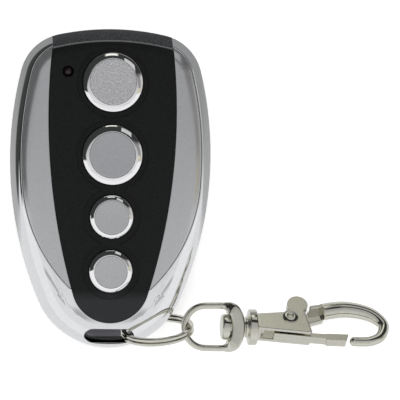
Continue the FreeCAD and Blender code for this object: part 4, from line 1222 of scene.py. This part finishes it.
def room_light():
    """White behind the object for the camera, even soft white for matt surfaces, and for gloss a
    small studio, laid over one another by the direction looked in: dark walls, a paler wall at the
    right with a warm patch, a strip light behind, a bright wall in front, and a ceiling that is
    brighter to the front, with one darker beam."""
    world = bpy.data.worlds.new("studio")
    world.use_nodes = True
    tree = world.node_tree
    tree.nodes.clear()
    looked = add_node(tree, "TexCoord", {}).outputs["Generated"]
    x, y, z = (axes(tree, looked)[axis] for axis in "XYZ")
    path = add_node(tree, "LightPath", {}).outputs
    beside = mixed(tree, fading(tree, z, 0.28, 0.42), (0.58, 0.57, 0.55), (0.27, 0.26, 0.26))
    right = times(tree, fading(tree, x, 0.4, 0.7), fading(tree, y, 0.45, 0.3))
    warm = times(tree, window(tree, y, -0.15, -0.02, 0.03), window(tree, z, 0.42, 0.62, 0.06),
                 fading(tree, x, 0.6, 0.7))
    strip = times(tree, window(tree, x, -0.16, 0.16, 0.05), window(tree, z, 0.06, 0.30, 0.04),
                  fading(tree, y, 0.5, 0.6))
    walls = layered(tree, (0.035, 0.037, 0.036), (right, beside), (warm, (0.62, 0.58, 0.40)),
                    (strip, (0.94, 0.94, 0.86)),
                    (fading(tree, y, -0.15, -0.21), (0.85, 0.85, 0.86)))
    overhead = layered(tree, (0.49, 0.49, 0.505),
                       (fading(tree, y, 0.15, -0.27), (0.69, 0.69, 0.70)),
                       (fading(tree, y, -0.36, -0.44), (0.76, 0.76, 0.77)),
                       (window(tree, y, -0.485, -0.465, 0.014), (0.42, 0.42, 0.43)))
    higher = reckoned(tree, "SUBTRACT", z, ranged(tree, y, 0.0, 0.45, 0.0, 1.0))
    room = mixed(tree, fading(tree, higher, 0.56, 0.64), walls, overhead)
    seen = mixed(tree, path["Is Glossy Ray"], (0.8, 0.8, 0.8), room)
    shown = reckoned(tree, "MAXIMUM", path["Is Camera Ray"], path["Is Transmission Ray"])
    background = add_node(tree, "Background", {"Color": mixed(tree, shown, seen, (1.0, 1.0, 1.0))})
    add_node(tree, "OutputWorld", {"Surface": background.outputs["Background"]})
    bpy.context.scene.world = world


def lay_floor():
    """A plain white floor, wide enough to fill every view. Its glow is off under the casing, and
    a painted shade makes it darker below the key ring slot; gloss sees a painted reflection on it,
    grey, paler towards the front and dark far to the left."""
    half = 1.5
    mesh = bpy.data.meshes.new("floor")
    mesh.from_pydata([(-half, -half, 0), (half, -half, 0), (half, half, 0), (-half, half, 0)], [],
                     [(0, 1, 2, 3)])
    floor = bpy.data.objects.new("floor", mesh)
    bpy.context.scene.collection.objects.link(floor)
    material, tree, shader = new_material("floor_white")
    where = position(tree)
    x, y, _ = axes(tree, where)
    # Painted reflection: the floor as gloss alone sees it, grey, paler towards the front and dark far
    # to the left
    below = layered(tree, (0.30, 0.30, 0.30), (fading(tree, y, 0.026, -0.004), (0.44, 0.44, 0.44)),
                    (fading(tree, x, -0.037, -0.047), (0.05, 0.055, 0.05)),
                    (fading(tree, y, -0.006, -0.013), (0.76, 0.76, 0.77)))
    pale = two_tones(tree, grain(tree, 6.0, 2.0), (0.97, 0.97, 0.97), (0.985, 0.985, 0.985))
    # Painted shade: the floor's colour is made darker grey below the key ring slot
    slot_painted_shade = within(tree, where, (0.0, -0.0263), (0.0075, 0.0042), 0.5)
    under = within(tree, where, (0.0, 0.0), (0.0175, 0.0292), 0.97)
    feed(tree, shader, {"Base Color": mixed(tree, slot_painted_shade, pale, (0.26, 0.26, 0.29)),
                        "Roughness": 0.9, "Specular IOR Level": 0.1})
    glow = add_node(tree, "Emission", {"Color": (1.0, 1.0, 1.0),
                                       "Strength": ranged(tree, under, 0.45, 0.0, 0.0, 1.0)})
    lit = add_node(tree, "AddShader", {0: shader.outputs["BSDF"], 1: glow.outputs["Emission"]})
    # The painted reflection glows for glossy rays only
    mirror = add_node(tree, "Emission", {"Color": below})
    path = add_node(tree, "LightPath", {}).outputs
    chosen = add_node(tree, "MixShader", {"Fac": path["Is Glossy Ray"], 1: lit.outputs["Shader"],
                                          2: mirror.outputs["Emission"]})
    feed(tree, tree.nodes["Material Output"], {"Surface": chosen.outputs["Shader"]})
    mesh.materials.append(material)


class REMOTE_OT_stage(bpy.types.Operator):
    """Set out the floor, the lamps, the surroundings and the camera"""
    bl_idname = "remote.stage"
    bl_label = "Stage"

    def execute(self, context):
        lay_floor()
        room_light()
        lamp("key_lamp", (-0.25, 0.35, 0.9), (0.01, 0.0, 0.0), 0.5, 1.6)
        lamp("fill_lamp", (0.5, -0.5, 0.8), (0.01, 0.0, 0.0), 0.6, 1.2)
        lamp("chain_lamp", (0.064, 0.102, 0.075), (0.030, -0.025, 0.005), 0.05, 0.0045, 0.055, True)
        place_camera()
        context.scene.view_settings.view_transform = "Standard"
        return {"FINISHED"}


class REMOTE_OT_finishes(bpy.types.Operator):
    """Make every finish and give it to the model's own pieces"""
    bl_idname = "remote.finishes"
    bl_label = "Finishes"

    def execute(self, context):
        made = make_finishes()
        for name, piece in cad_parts.items():
            chosen = made[SLOTS[name]]
            if not piece.data.materials:
                piece.data.materials.append(chosen)
            for i in range(len(piece.data.materials)):
                piece.data.materials[i] = chosen
        return {"FINISHED"}


class REMOTE_PT_panel(bpy.types.Panel):
    """One button for each group of pieces, in the order in which they are made"""
    bl_label = "Gate remote"
    bl_idname = "REMOTE_PT_panel"
    bl_space_type = "VIEW_3D"
    bl_region_type = "UI"
    bl_category = "Gate remote"

    def draw(self, context):
        for operator in OPERATORS:
            self.layout.operator(operator.bl_idname)
        for kind, group in GROUPS:
            for name in kind.__annotations__:
                self.layout.prop(getattr(context.scene, group), name,
                                 text=name.replace("_", " ").capitalize())


OPERATORS = (REMOTE_OT_finishes, REMOTE_OT_chrome_frame, REMOTE_OT_side_panels,
             REMOTE_OT_face_plate, REMOTE_OT_buttons, REMOTE_OT_split_ring, REMOTE_OT_swivel,
             REMOTE_OT_clasp, REMOTE_OT_stage)


GROUPS = ((CasingSizes, "remote_casing"), (FaceSizes, "remote_face"), (ChainSizes, "remote_chain"),
          (FinishColours, "remote_colours"))


def register():
    for group, name in GROUPS:
        bpy.utils.register_class(group)
        setattr(bpy.types.Scene, name, bpy.props.PointerProperty(type=group))
    for operator in OPERATORS:
        bpy.utils.register_class(operator)
    bpy.utils.register_class(REMOTE_PT_panel)


def unregister():
    bpy.utils.unregister_class(REMOTE_PT_panel)
    for operator in reversed(OPERATORS):
        bpy.utils.unregister_class(operator)
    for group, name in reversed(GROUPS):
        delattr(bpy.types.Scene, name)
        bpy.utils.unregister_class(group)


def main():
    """Builds everything in order."""
    register()
    for operator in OPERATORS:
        area, name = operator.bl_idname.split(".")
        result = getattr(getattr(bpy.ops, area), name)()
        if result != {"FINISHED"}:
            raise RuntimeError(f"{operator.bl_label} didn't finish")


if __name__ == "__main__":
    main()
